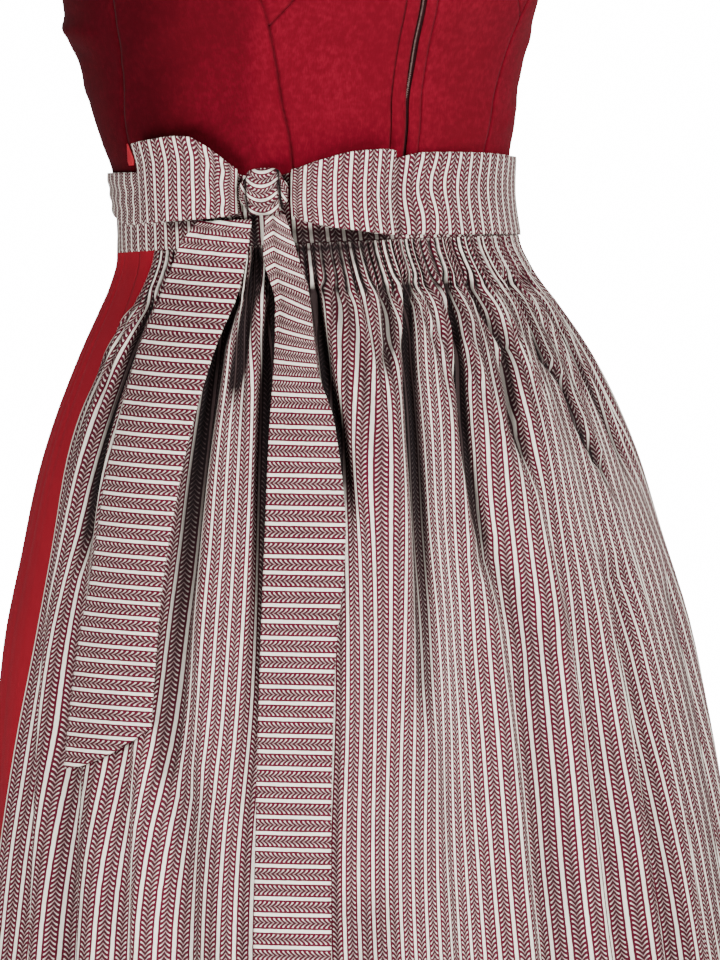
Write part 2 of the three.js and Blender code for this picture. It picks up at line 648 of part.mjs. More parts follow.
// The tails hang over the apron from under the knot. Each row holds the turns of its two edges.
const TAIL_RIGHT = [
  { height: -332, first: -80, last: -62.7 },
  { height: -275, first: -78.6, last: -61.8 },
  { height: -225, first: -76.9, last: -61 },
  { height: -167, first: -76, last: -58.8 },
  { height: -122, first: -75, last: -56.3 },
  { height: -87, first: -74.2, last: -53.4 },
  { height: -52, first: -72, last: -48.5 },
  { height: -27, first: -68, last: -46 },
  { height: -10.8, first: -60, last: -44.2 },
];
const TAIL_LEFT = [
  { height: -536, first: -46.5, last: -35.5 },
  { height: -455, first: -45.9, last: -34.4 },
  { height: -365, first: -44.9, last: -33.3 },
  { height: -276, first: -43.6, last: -31.4 },
  { height: -184, first: -42, last: -27.9 },
  { height: -135, first: -41.1, last: -28.5 },
  { height: -98, first: -40, last: -30.9 },
  { height: -62, first: -39.1, last: -30.6 },
  { height: -33, first: -41.8, last: -32.5 },
  { height: -8.8, first: -40, last: -34.8 },
];
const TAIL_INSIDE = [               // inner face of a tail, outside the apron's folds
  { height: -536, out: 12 },
  { height: -260, out: 10.8 },
  { height: -130, out: 9.8 },
  { height: -100, out: 9.2 },
  { height: -75, out: 7.8 },
  { height: GAUGING_END, out: 6.6 },
  { height: -30, out: 6.6 },
  { height: -8.8, out: 9 },
];
const TAIL_END_SLANT = 22;          // one corner of each tail's end is this much higher
const TAIL_CURL = 2.5;              // a tail bows out along its middle

function tailGeometry(table) {
  const end = table[0].height;
  const top = table.at(-1).height;
  const inner = SKIRT_LEVELS.filter((height) => height > end + TAIL_END_SLANT + 4 && height < top - 10);
  const edges = (height) => ['first', 'last'].map((edge) => lookup(table, 'height', height, edge));
  return panelGeometry({
    columns: 5,
    levels: [end, ...inner, top],
    edges,
    bottom: (t) => end + TAIL_END_SLANT * t * t,
    out: (turn, height) => {
      const [first, last] = edges(height);
      const t = THREE.MathUtils.clamp((turn - first) / (last - first), 0, 1);
      const inside = lookup(TAIL_INSIDE, 'height', height, 'out');
      return inside + TIE_CLOTH + TAIL_CURL * Math.sin(Math.PI * t) * hang(height, top, -75);
    },
    cloth: TIE_CLOTH,
  });
}
add('bow_tail_right', tailGeometry(TAIL_RIGHT), stripeCloth);
add('bow_tail_left', tailGeometry(TAIL_LEFT), stripeCloth);

// ---------------------------------------------------------------- label
// A small bare tab caught in the side seam on the wearer's right, above the ties.
add('label_tab', panelGeometry({
  columns: 2, levels: [25, 31.5, 38], edges: () => [-92.8, -88.6], out: () => 1.4, cloth: 1,
}), tabRed);

export default dress;
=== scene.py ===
"""A folk dress with a tied apron: cloth, zip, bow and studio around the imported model.

Lengths in the tables are millimetres. A point on the dress is named by its turn (degrees round
the body, 0 centre front, positive towards the wearer's left), its height above the waist and its
distance out from the body form.
"""

import logging
import math
from dataclasses import dataclass, field
from enum import Enum
from typing import Callable, Sequence

import bmesh
import bpy
import numpy as np
from mathutils import Matrix, Vector


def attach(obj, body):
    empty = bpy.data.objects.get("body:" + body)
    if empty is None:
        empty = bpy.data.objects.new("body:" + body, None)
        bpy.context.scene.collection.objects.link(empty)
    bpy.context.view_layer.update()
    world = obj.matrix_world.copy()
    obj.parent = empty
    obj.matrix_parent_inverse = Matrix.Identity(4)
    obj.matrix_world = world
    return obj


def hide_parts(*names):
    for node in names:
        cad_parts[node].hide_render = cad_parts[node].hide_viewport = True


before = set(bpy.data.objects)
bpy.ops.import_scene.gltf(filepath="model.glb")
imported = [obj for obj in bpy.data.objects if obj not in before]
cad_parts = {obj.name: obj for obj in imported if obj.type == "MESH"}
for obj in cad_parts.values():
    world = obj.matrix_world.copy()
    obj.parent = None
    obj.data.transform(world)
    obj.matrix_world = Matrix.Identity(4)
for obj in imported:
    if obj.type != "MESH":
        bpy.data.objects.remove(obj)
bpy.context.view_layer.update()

LOG = logging.getLogger("dirndl")
Array = np.ndarray
Placer = Callable[[Array, Array], tuple[Array, ...]]
MM = 0.001


class Body(str, Enum):
    """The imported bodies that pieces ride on."""

    DRESS = "dress"
    PULL = "pull"


class Slot(str, Enum):
    """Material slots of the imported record."""

    VELVET = "bodice_velvet"
    SKIRT = "skirt_cloth"
    APRON = "apron_cloth"
    LABEL = "label_tab"
    TAPE = "zip_tape"
    METAL = "zip_metal"


# ------------------------------------------------------------------ tables and the body form
class Table:
    """Rows of numbers with named columns, read smoothly between the rows."""

    def __init__(self, columns: str, rows: Sequence[Sequence[float]]) -> None:
        """Sorts the rows by their first column and works out the slopes.

        Args:
            columns: Column names; the first is the key.
            rows: The numbers, one row for each key.
        """
        data = np.array(sorted(rows), dtype=float)
        self.keys = data[:, 0]
        self.values: dict[str, tuple[Array, Array]] = {}
        for i, name in enumerate(columns.split()[1:], start=1):
            slopes = np.diff(data[:, i]) / np.diff(self.keys)
            inner = np.zeros(len(slopes) - 1)
            same = slopes[:-1] * slopes[1:] > 0
            inner[same] = 2 / (1 / slopes[:-1][same] + 1 / slopes[1:][same])
            self.values[name] = (data[:, i], np.concatenate(([slopes[0]], inner, [slopes[-1]])))

    def __call__(self, column: str, key: Array | float) -> Array:
        """Reads one column.

        Args:
            column: Name of the column.
            key: Where to read it.

        Returns:
            The smooth values at those keys.
        """
        values, slopes = self.values[column]
        i = np.clip(np.searchsorted(self.keys, key, side="right") - 1, 0, len(self.keys) - 2)
        span = self.keys[i + 1] - self.keys[i]
        t = np.clip((key - self.keys[i]) / span, 0, 1)
        t2, t3 = t * t, t * t * t
        return (
            values[i] * (2 * t3 - 3 * t2 + 1)
            + values[i + 1] * (3 * t2 - 2 * t3)
            + span * (slopes[i] * (t3 - 2 * t2 + t) + slopes[i + 1] * (t3 - t2))
        )


def smooth(value: Array, start: float | Array, end: float | Array) -> Array:
    """Grows smoothly from 0 at start to 1 at end."""
    t = np.clip((value - start) / (end - start), 0, 1)
    return t * t * (3 - 2 * t)


def mix(a: Array | float, b: Array | float, t: Array | float) -> Array:
    """Goes straight from a at t = 0 to b at t = 1."""
    return a + (b - a) * t


def between(a: Array | float, b: Array | float) -> Array:
    """Signed difference of two turns, from -180 to 180 degrees."""
    return (np.asarray(a) - b + 180) % 360 - 180


def bell(distance: Array, width: float | Array) -> Array:
    """A soft bump, 1 at distance 0 and gone past about twice the width."""
    return np.exp(-((distance / width) ** 2))


@dataclass(frozen=True)
class Form:
    """The filled-out body form that every piece of cloth lies on."""

    waist: float = -390
    bust_turn: float = 45
    bust_height: float = 150
    bust_rise: float = 8
    bust_turn_reach: float = 19
    bust_height_reach: float = 42
    shape: Table = field(
        default=Table(
            "height half_width front back lean",
            [
                (-650, 243, 240, 240, -6),
                (-430, 220, 213, 213, -5),
                (-350, 212, 205, 205, -4.5),
                (-260, 200.5, 191.5, 191.5, -4.5),
                (-200, 187.5, 176, 176, -4.5),
                (-160, 178, 165, 165, -4.5),
                (-130, 168.5, 154, 154, -4.5),
                (-100, 156.5, 139.5, 139.5, -4.5),
                (-80, 147.5, 128, 128, -4),
                (-60, 137.5, 116, 116, -3.5),
                (-45, 130, 107.5, 107.5, -2.5),
                (-30, 125, 102, 102, -1.5),
                (-3, 123.6, 99.6, 99.6, 0),
                (22, 124.6, 104.5, 104.5, 0),
                (40, 128.5, 111.5, 111.5, 2),
                (60, 132.5, 116.5, 116.5, 4),
                (86, 137, 126, 126, 4),
                (117, 141, 139, 136, 3),
                (150, 145, 144, 136, 2),
                (190, 146, 135, 132, 0),
                (240, 142, 114, 122, 0),
                (300, 134, 88, 102, 0),
                (345, 128, 60, 74, 0),
                (370, 125, 36, 44, 0),
                (383, 124, 15, 19, 0),
                (388, 124, 1.9, 1.9, 0),
            ],
        )
    )

    def place(self, turn: Array, height: Array, out: Array | float) -> Array:
        """Finds points on the form.

        Args:
            turn: Degrees round the body.
            height: Millimetres above the waist.
            out: Millimetres outside the form.

        Returns:
            One row of x, y, z in metres for each point.
        """
        turn, height = np.broadcast_arrays(np.asarray(turn, float), np.asarray(height, float))
        upright = bell(height - self.bust_height, self.bust_height_reach)
        sides = sum(
            bell(between(turn, side * self.bust_turn), self.bust_turn_reach) for side in (-1, 1)
        )
        reach = out + self.bust_rise * upright * sides
        angle = np.radians(turn)
        front, back = self.shape("front", height), self.shape("back", height)
        depth = np.where(np.cos(angle) > 0, front, back)
        x = (self.shape("half_width", height) + reach) * np.sin(angle)
        y = self.shape("lean", height) - (depth + reach) * np.cos(angle)
        return np.stack([x, y, self.waist + height], axis=-1) * MM

FORM = Form()


@dataclass(frozen=True)
class Crease:
    """A line that stands up from the cloth, or is sunk into it where its rise is negative."""

    start: tuple[float, float]
    end: tuple[float, float]
    width: float
    rise: float
    scale: float = 2.3

    def lift(self, turn: Array, height: Array) -> Array:
        """Works out how far the crease lifts the cloth.

        Args:
            turn: Degrees round the body.
            height: Millimetres above the waist.

        Returns:
            Millimetres outwards at each point.
        """
        x0, y0 = self.start[0] * self.scale, self.start[1]
        dx, dy = self.end[0] * self.scale - x0, self.end[1] - y0
        px, py = turn * self.scale - x0, height - y0
        length = math.hypot(dx, dy)
        t = np.clip((px * dx + py * dy) / length**2, 0, 1)
        distance = np.hypot(px - t * dx, py - t * dy)
        middle = np.sin(np.pi * t)
        width = self.width * (0.45 + 0.55 * middle)
        return self.rise * bell(distance, width) * (0.25 + 0.75 * middle)


def waver(turn: Array, height: Array, seed: int, scale: float) -> Array:
    """Slow uneven swell of worn cloth, about -1 to 1, the same on every run.

    Args:
        turn: Degrees round the body.
        height: Millimetres above the waist.
        seed: Picks the pattern.
        scale: Size of the swell in millimetres.

    Returns:
        The swell at each point.
    """
    rng = np.random.default_rng(seed)
    total = np.zeros(np.broadcast(turn, height).shape)
    for _ in range(7):
        fx, fy = rng.normal(0, 1, 2)
        total = total + np.sin((turn * 2.3 * fx + height * fy) / scale * 2 + rng.uniform(0, 6.3))
    return total / 4


# ------------------------------------------------------------------ meshes
def grid_object(name: str, columns: int, rows: int, placer: Placer) -> bpy.types.Object:
    """Makes a sheet from a grid whose points are moved into place.

    Args:
        name: Name of the piece.
        columns: Cells across.
        rows: Cells along.
        placer: Gives points in metres, flat cloth places in metres and, where it has any, how much
        shade is painted on it, darkened stitch lines included, from 0 to 1, for each (across,
        along).

    Returns:
        The new object, linked to the scene.
    """
    mesh = bmesh.new()
    bmesh.ops.create_grid(mesh, x_segments=columns, y_segments=rows, size=0.5)
    mesh.verts.ensure_lookup_table()
    flat = np.array([vertex.co[:2] for vertex in mesh.verts]) + 0.5
    points, cloth, *tucked = placer(flat[:, 0], flat[:, 1])
    for vertex, point in zip(mesh.verts, points):
        vertex.co = point
    layer = mesh.loops.layers.uv.new("cloth")
    for face in mesh.faces:
        face.smooth = True
        for loop in face.loops:
            loop[layer].uv = cloth[loop.vert.index]
    piece = object_from(name, mesh)
    keep_painted_shade_and_stitch_lines(piece, tucked[0] if tucked else np.zeros(len(points)))
    return piece


def keep_painted_shade_and_stitch_lines(piece: bpy.types.Object, tucked: Array) -> None:
    """Stores on each point how much shade is painted on it, with darkened stitch lines, from 0 to
    1.
    """
    layer = piece.data.attributes.new("painted_shade_and_stitch_lines", "FLOAT", "POINT")
    layer.data.foreach_set("value", np.asarray(tucked, dtype=np.float32))


def object_from(name: str, mesh: bmesh.types.BMesh) -> bpy.types.Object:
    """Turns a bmesh into an object in the scene and frees it."""
    data = bpy.data.meshes.new(name)
    mesh.to_mesh(data)
    mesh.free()
    piece = bpy.data.objects.new(name, data)
    bpy.context.scene.collection.objects.link(piece)
    return piece


def thicken(piece: bpy.types.Object, thickness: float) -> None:
    """Gives a sheet its thickness inwards."""
    wall = piece.modifiers.new("thickness", "SOLIDIFY")
    wall.thickness = thickness * MM
    wall.offset = -1


def settle(
    piece: bpy.types.Object,
    material: bpy.types.Material,
    nodes: Sequence[str] = (),
    body: Body = Body.DRESS,
) -> bpy.types.Object:
    """Gives a piece its material, its body and the nodes that it stands for.

    Args:
        piece: The finished piece.
        material: Its finish.
        nodes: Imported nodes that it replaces.
        body: What it rides on.

    Returns:
        The same piece.
    """
    piece.data.materials.clear()
    piece.data.materials.append(material)
    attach(piece, body.value)
    if nodes:
        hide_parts(*nodes)
    LOG.info("%s: %d faces", piece.name, len(piece.data.polygons))
    return piece


# ------------------------------------------------------------------ materials
Socket = bpy.types.NodeSocket
Value = float | Socket


class Net:
    """Short calls for building a node tree."""

    def __init__(self, tree: bpy.types.NodeTree) -> None:
        """Keeps the tree."""
        self.tree = tree

    def node(self, kind: str, **settings: object) -> bpy.types.Node:
        """Adds a node and sets its properties."""
        node = self.tree.nodes.new(kind)
        for name, value in settings.items():
            setattr(node, name, value)
        return node

    def feed(self, socket: Socket, value: object) -> None:
        """Links a socket, or sets its value where a plain one is given."""
        if isinstance(value, bpy.types.NodeSocket):
            self.tree.links.new(value, socket)
        else:
            socket.default_value = value

    def math(self, operation: str, a: Value, b: Value = 0.0, c: Value = 0.0) -> Socket:
        """Adds a Math node and returns its result."""
        node = self.node("ShaderNodeMath", operation=operation)
        for socket, value in zip(node.inputs, (a, b, c)):
            self.feed(socket, value)
        return node.outputs[0]

    def ramp(
        self, value: Value, low: Value, high: Value, start: float = 0, end: float = 1
    ) -> Socket:
        """Adds a smooth Map Range from low..high to start..end."""
        node = self.node("ShaderNodeMapRange", interpolation_type="SMOOTHSTEP")
        for socket, item in zip(node.inputs, (value, low, high, start, end)):
            self.feed(socket, item)
        return node.outputs[0]

    def blend(self, factor: Value, a: object, b: object, kind: str = "MIX") -> Socket:
        """Adds a colour Mix node and returns its result."""
        node = self.node("ShaderNodeMix", data_type="RGBA", blend_type=kind)
        self.feed(node.inputs[0], factor)
        self.feed(node.inputs[6], a)
        self.feed(node.inputs[7], b)
        return node.outputs[2]

    def noise(self, vector: Socket, scale: float, detail: float = 2.0) -> Socket:
        """Adds a Noise texture and returns its value."""
        node = self.node("ShaderNodeTexNoise")
        self.feed(node.inputs["Vector"], vector)
        self.feed(node.inputs["Scale"], scale)
        self.feed(node.inputs["Detail"], detail)
        return node.outputs["Fac"]

    def scaled(self, vector: Socket, scale: tuple[float, float, float]) -> Socket:
        """Adds a Mapping node that scales a vector."""
        node = self.node("ShaderNodeMapping")
        self.feed(node.inputs["Vector"], vector)
        self.feed(node.inputs["Scale"], scale)
        return node.outputs[0]


Colour = tuple[float, float, float, float]


def new_group(
    name: str, inputs: dict[str, str], outputs: dict[str, str]
) -> tuple[Net, dict[str, Socket], dict[str, Socket]]:
    """Starts a shader node group.

    Args:
        name: Its name.
        inputs: Socket kinds by name, "Float", "Vector" or "Color".
        outputs: The same for what it puts out.

    Returns:
        The net, its input sockets and its output sockets, by name.
    """
    tree = bpy.data.node_groups.new(name, "ShaderNodeTree")
    for direction, sockets in (("INPUT", inputs), ("OUTPUT", outputs)):
        for socket, kind in sockets.items():
            tree.interface.new_socket(socket, in_out=direction, socket_type=f"NodeSocket{kind}")
    net = Net(tree)
    start = net.node("NodeGroupInput")
    end = net.node("NodeGroupOutput")
    given = {socket.name: socket for socket in start.outputs if socket.name}
    out = {socket.name: socket for socket in end.inputs if socket.name}
    return net, given, out


@dataclass(frozen=True)
class HerringboneStripe:
    """The apron's woven pattern: ivory bars between columns of leaf-like slanted ticks.

    Its vector runs across the stripes in x and along them in y, in metres. The lengths are
    millimetres, and a tick's half width and blur are shares of the pitch.
    """

    repeat: float = 9.6
    bar: float = 1.95
    pitch: float = 2.9
    rise: float = 2.9
    leaf: float = 2.75
    leaf_curve: float = 1.6
    root_width: float = 0.070
    tip_width: float = 0.178
    tick_blur: float = 0.03
    edge_blur: float = 0.1
    ivory: Colour = (0.74, 0.705, 0.61, 1)
    burgundy: Colour = (0.064, 0.0019, 0.0105, 1)
    black: Colour = (0.012, 0.0025, 0.004, 1)
    leaf_tip: Colour = (0.62, 0.565, 0.50, 1)
    leaf_root: Colour = (0.34, 0.29, 0.265, 1)

    def group(self) -> bpy.types.NodeTree:
        """Builds the pattern's node group, which puts out a colour and a float for relief."""
        net, given, out = new_group(
            "herringbone_stripe", {"Cloth": "Vector"}, {"Color": "Color", "Relief": "Float"}
        )
        wobble = net.noise(given["Cloth"], 220, 1)
        split = net.node("ShaderNodeSeparateXYZ")
        net.feed(split.inputs[0], given["Cloth"])
        across = net.math("MULTIPLY_ADD", wobble, 0.0004, split.outputs[0])
        columns = net.math("DIVIDE", across, self.repeat * MM)
        column = net.math("FLOOR", columns)
        place = net.math("SUBTRACT", net.math("FRACT", columns), 0.5)
        side = net.math("MULTIPLY", net.math("ABSOLUTE", place), self.repeat)
        turned = net.math("MULTIPLY_ADD", net.math("PINGPONG", column, 1.0), 2.0, -1.0)
        inward = net.math("MAXIMUM", net.math("MULTIPLY_ADD", side, -1 / self.leaf, 1.0), 0.0)
        curved = net.math("SUBTRACT", 1.0, net.math("POWER", inward, self.leaf_curve))
        slanted = net.math("MULTIPLY", net.math("MULTIPLY", curved, self.rise), turned)
        along = net.math("MULTIPLY_ADD", split.outputs[1], 1 / MM, slanted)
        phase = net.math("FRACT", net.math("DIVIDE", along, self.pitch))
        from_tick = net.math("ABSOLUTE", net.math("SUBTRACT", phase, 0.5))
        width = net.ramp(side, 0.0, self.leaf, self.root_width, self.tip_width)
        narrow = net.math("SUBTRACT", width, self.tick_blur)
        wide = net.math("ADD", width, self.tick_blur)
        tick = net.math(
            "MULTIPLY",
            net.ramp(from_tick, narrow, wide, 1, 0),
            net.ramp(side, self.leaf - 0.3, self.leaf + self.edge_blur, 1, 0),
        )
        inner = net.ramp(side, 0.8, 2.0, 1, 0)
        dark = net.math("MULTIPLY", inner, net.ramp(from_tick, 0.27, 0.40, 0, 0.85))
        grey = net.math("MULTIPLY", inner, 0.02)
        bar_edge = self.repeat / 2 - self.bar / 2
        bar = net.ramp(side, bar_edge - self.edge_blur, bar_edge + self.edge_blur)
        colour = net.blend(grey, self.burgundy, self.ivory)
        colour = net.blend(dark, colour, self.black)
        leaf = net.blend(net.ramp(side, 0.6, 2.4), self.leaf_root, self.leaf_tip)
        colour = net.blend(tick, colour, leaf)
        colour = net.blend(bar, colour, self.ivory)
        net.feed(out["Color"], colour)
        net.feed(out["Relief"], net.math("MAXIMUM", bar, net.math("MULTIPLY", tick, 0.8)))
        return net.tree


def weave_group() -> bpy.types.NodeTree:
    """Builds a fine plain weave: Cloth is a flat place in metres, Threads are counted per metre."""
    net, given, out = new_group(
        "weave", {"Cloth": "Vector", "Threads": "Float"}, {"Height": "Float"}
    )
    split = net.node("ShaderNodeSeparateXYZ")
    net.feed(split.inputs[0], given["Cloth"])
    waves = [
        net.math("SINE", net.math("MULTIPLY", turns, math.tau))
        for turns in (
            net.math("MULTIPLY", axis, given["Threads"]) for axis in split.outputs[:2]
        )
    ]
    net.feed(out["Height"], net.math("MULTIPLY_ADD", net.math("MULTIPLY", *waves), 0.5, 0.5))
    return net.tree


# painted shade: the colour that folds, gaps and places under the bow are darkened towards; stitch
# lines darken towards it too
FOLD_SHADE: Colour = (0.035, 0.022, 0.025, 1)


@dataclass(frozen=True)
class Finish:
    """What every cloth or metal finish has in common."""

    name: str
    roughness: float = 0.8
    sheen: float = 0.0
    metallic: float = 0.0
    shine: float = 0.1

    def start(self) -> tuple[bpy.types.Material, Net, bpy.types.Node]:
        """Starts the material and sets what is the same all over.

        Returns:
            The material, its net and its Principled shader.
        """
        material = bpy.data.materials.new(self.name)
        material.use_nodes = True
        net = Net(material.node_tree)
        shader = material.node_tree.nodes["Principled BSDF"]
        shader.inputs["Roughness"].default_value = self.roughness
        shader.inputs["Metallic"].default_value = self.metallic
        shader.inputs["Sheen Weight"].default_value = self.sheen
        shader.inputs["Sheen Roughness"].default_value = 0.45
        shader.inputs["Specular IOR Level"].default_value = self.shine
        return material, net, shader

    def bump(
        self, net: Net, shader: bpy.types.Node, height: Socket, strength: float, distance: float
    ) -> None:
        """Feeds a relief into the shader's normal.

        Args:
            net: The material's net.
            shader: Its Principled shader.
            height: The relief, from 0 to about 1.
            strength: Share of the relief that is used.
            distance: Metres that a height of 1 stands for.
        """
        node = net.node("ShaderNodeBump")
        net.feed(node.inputs["Height"], height)
        node.inputs["Strength"].default_value = strength
        node.inputs["Distance"].default_value = distance
        net.feed(shader.inputs["Normal"], node.outputs[0])

    def cloth_place(self, net: Net) -> Socket:
        """The flat place on the cloth, in metres."""
        node = net.node("ShaderNodeUVMap", uv_map="cloth")
        return node.outputs[0]

    def object_place(self, net: Net) -> Socket:
        """The place in the dress, in metres."""
        return net.node("ShaderNodeTexCoord").outputs["Object"]

    def tucked(self, net: Net, colour: Socket) -> Socket:
        """Paints shade into a colour where folds, gaps and the bow would shade the cloth, and
        darkens stitch lines, by the stored amount.
        """
        # the stored amount of painted shade, with darkened stitch lines, read from the points
        depth = net.node("ShaderNodeAttribute", attribute_name="painted_shade_and_stitch_lines").outputs["Fac"]
        return net.blend(depth, colour, net.blend(1.0, colour, FOLD_SHADE, "MULTIPLY"))


@dataclass(frozen=True)
class StripeCloth(Finish):
    """Apron cloth: the herringbone stripe, woven with a soft shine."""

    threads: float = 2600

    def build(self, pattern: bpy.types.NodeTree, weave: bpy.types.NodeTree) -> bpy.types.Material:
        """Builds the material.

        Args:
            pattern: The stripe's node group.
            weave: The weave's node group.

        Returns:
            The finished material.
        """
        material, net, shader = self.start()
        place = self.cloth_place(net)
        stripes = net.node("ShaderNodeGroup", node_tree=pattern)
        net.feed(stripes.inputs["Cloth"], place)
        threads = net.node("ShaderNodeGroup", node_tree=weave)
        net.feed(threads.inputs["Cloth"], place)
        threads.inputs["Threads"].default_value = self.threads
        shade = net.ramp(net.noise(self.object_place(net), 60, 3), 0.3, 0.7, 0.92, 1.03)
        tint = net.node("ShaderNodeCombineColor")
        for socket in tint.inputs:
            net.feed(socket, shade)
        shaded = net.blend(1.0, stripes.outputs["Color"], tint.outputs[0], "MULTIPLY")
        # base colour with painted shade and darkened stitch lines laid over it
        net.feed(shader.inputs["Base Color"], self.tucked(net, shaded))
        relief = net.math("MULTIPLY_ADD", threads.outputs[0], 0.4, stripes.outputs["Relief"])
        self.bump(net, shader, relief, 0.35, 0.00012)
        net.feed(shader.inputs["Roughness"], net.ramp(stripes.outputs["Relief"], 0, 1, 0.78, 0.6))
        return material


@dataclass(frozen=True)
class PlainCloth(Finish):
    """One-coloured cloth with a pile or weave, faint ribs and slow random changes of tone."""

    colour: Colour = (0.5, 0.05, 0.08, 1)
    deep: Colour = (0.2, 0.01, 0.02, 1)
    rib: float = 900
    rib_depth: float = 0.3
    mottle: float = 0.5
    streak: float = 0.3
    threads: float = 2200

    def build(self, weave: bpy.types.NodeTree) -> bpy.types.Material:
        """Builds the material.

        Args:
            weave: The weave's node group.

        Returns:
            The finished material.
        """
        material, net, shader = self.start()
        place = self.cloth_place(net)
        split = net.node("ShaderNodeSeparateXYZ")
        net.feed(split.inputs[0], place)
        ribs = net.math("SINE", net.math("MULTIPLY", split.outputs[0], self.rib * math.tau))
        streaks = net.noise(net.scaled(place, (1, 0.25, 1)), 1100, 2)
        spots = net.noise(self.object_place(net), 260, 4)
        slow = net.noise(self.object_place(net), 26, 3)
        threads = net.node("ShaderNodeGroup", node_tree=weave)
        net.feed(threads.inputs["Cloth"], place)
        threads.inputs["Threads"].default_value = self.threads
        shade = net.ramp(streaks, 0.3, 0.7, 0.0, self.streak)
        shade = net.math("MULTIPLY_ADD", ribs, 0.10 * self.rib_depth, shade)
        shade = net.math("MULTIPLY_ADD", net.ramp(spots, 0.3, 0.7), 0.5 * self.mottle, shade)
        shade = net.math("MULTIPLY_ADD", net.ramp(slow, 0.3, 0.7), 0.3 * self.mottle, shade)
        colour = net.blend(net.ramp(shade, 0.1, 0.95), self.deep, self.colour)
        # base colour with painted shade and darkened stitch lines laid over it
        net.feed(shader.inputs["Base Color"], self.tucked(net, colour))
        relief = net.math("MULTIPLY_ADD", ribs, self.rib_depth, threads.outputs[0])
        relief = net.math("ADD", relief, spots)
        self.bump(net, shader, relief, 0.3, 0.0001)
        return material


@dataclass(frozen=True)
class Metal(Finish):
    """Worn zip metal, spotted."""

    colour: Colour = (0.6, 0.5, 0.4, 1)
    dull: Colour = (0.3, 0.2, 0.15, 1)

    def build(self) -> bpy.types.Material:
        """Builds the material."""
        material, net, shader = self.start()
        spots = net.noise(self.object_place(net), 700, 4)
        colour = net.blend(net.ramp(spots, 0.35, 0.6), self.dull, self.colour)
        net.feed(shader.inputs["Base Color"], colour)
        worn = net.ramp(spots, 0.3, 0.7, self.roughness + 0.15, self.roughness - 0.05)
        net.feed(shader.inputs["Roughness"], worn)
        self.bump(net, shader, spots, 0.2, 0.0001)
        return material


class Wardrobe:
    """Every finish, built once."""

    def __init__(self) -> None:
        """Builds the shared groups and the materials."""
        weave = weave_group()
        pattern = HerringboneStripe().group()
        self.stripe = StripeCloth("apron_stripe", sheen=0.01, shine=0.12).build(pattern, weave)
        self.velvet = PlainCloth(
            "cord_velvet", 0.92, 0.015, shine=0.04, rib=1000, mottle=0.55, streak=0.18,
            colour=(0.165, 0.0044, 0.0144, 1), deep=(0.088, 0.0020, 0.0066, 1),
        ).build(weave)
        self.cotton = PlainCloth(
            "skirt_cotton", 0.88, 0.005, shine=0.06, rib=1600, rib_depth=0.12, mottle=0.3,
            streak=0.15, colour=(0.235, 0.0085, 0.0185, 1), deep=(0.185, 0.006, 0.013, 1),
        ).build(weave)
        self.tape = PlainCloth(
            "zip_tape_cloth", 0.85, rib=700,
            colour=(0.022, 0.002, 0.003, 1), deep=(0.012, 0.001, 0.002, 1),
        ).build(weave)
        self.ribbon = PlainCloth(
            "tab_ribbon", 0.6, shine=0.2, rib=1500, rib_depth=0.5,
            colour=(0.40, 0.008, 0.022, 1), deep=(0.26, 0.005, 0.012, 1),
        ).build(weave)
        self.metal = Metal(
            "zip_metal", 0.42, metallic=1.0, shine=0.5,
            colour=(0.25, 0.17, 0.15, 1), dull=(0.11, 0.065, 0.06, 1),
        ).build()


# ------------------------------------------------------------------ bodice
SEAMS = Table(
    "height princess side back_princess",
    [
        (-3, 32, 90, 150),
        (40, 33.8, 89.2, 149),
        (77, 36.2, 84.5, 147),
        (103, 39, 82.8, 146),
        (150, 44.5, 82.5, 147),
        (190, 45, 80, 149),
        (196, 45, 74.5, 149.5),
        (209, 45, 69.5, 150),
        (232, 45, 65, 151),
        (300, 44.5, 61, 151),
        (388, 44, 61.5, 151),
    ],
)
CUP_SEAM = Table(
    "height turn", [(103, 39), (120, 32.8), (150, 26), (212, 20), (232, 27), (388, 28.7)]
)
BACK_ARMHOLE = Table(
    "height turn", [(190, 80), (196, 89), (209, 99), (235, 110), (300, 117), (388, 118)]
)
Edge = Callable[[Array], Array]


@dataclass(frozen=True)
class Panel:
    """One cut piece of the bodice, on the wearer's left."""

    name: str
    columns: int
    rows: int
    low: float
    high: float
    first: Edge
    last: Edge
    flat: tuple[float, float]
    area: float
    neck_drop: float = 0.0


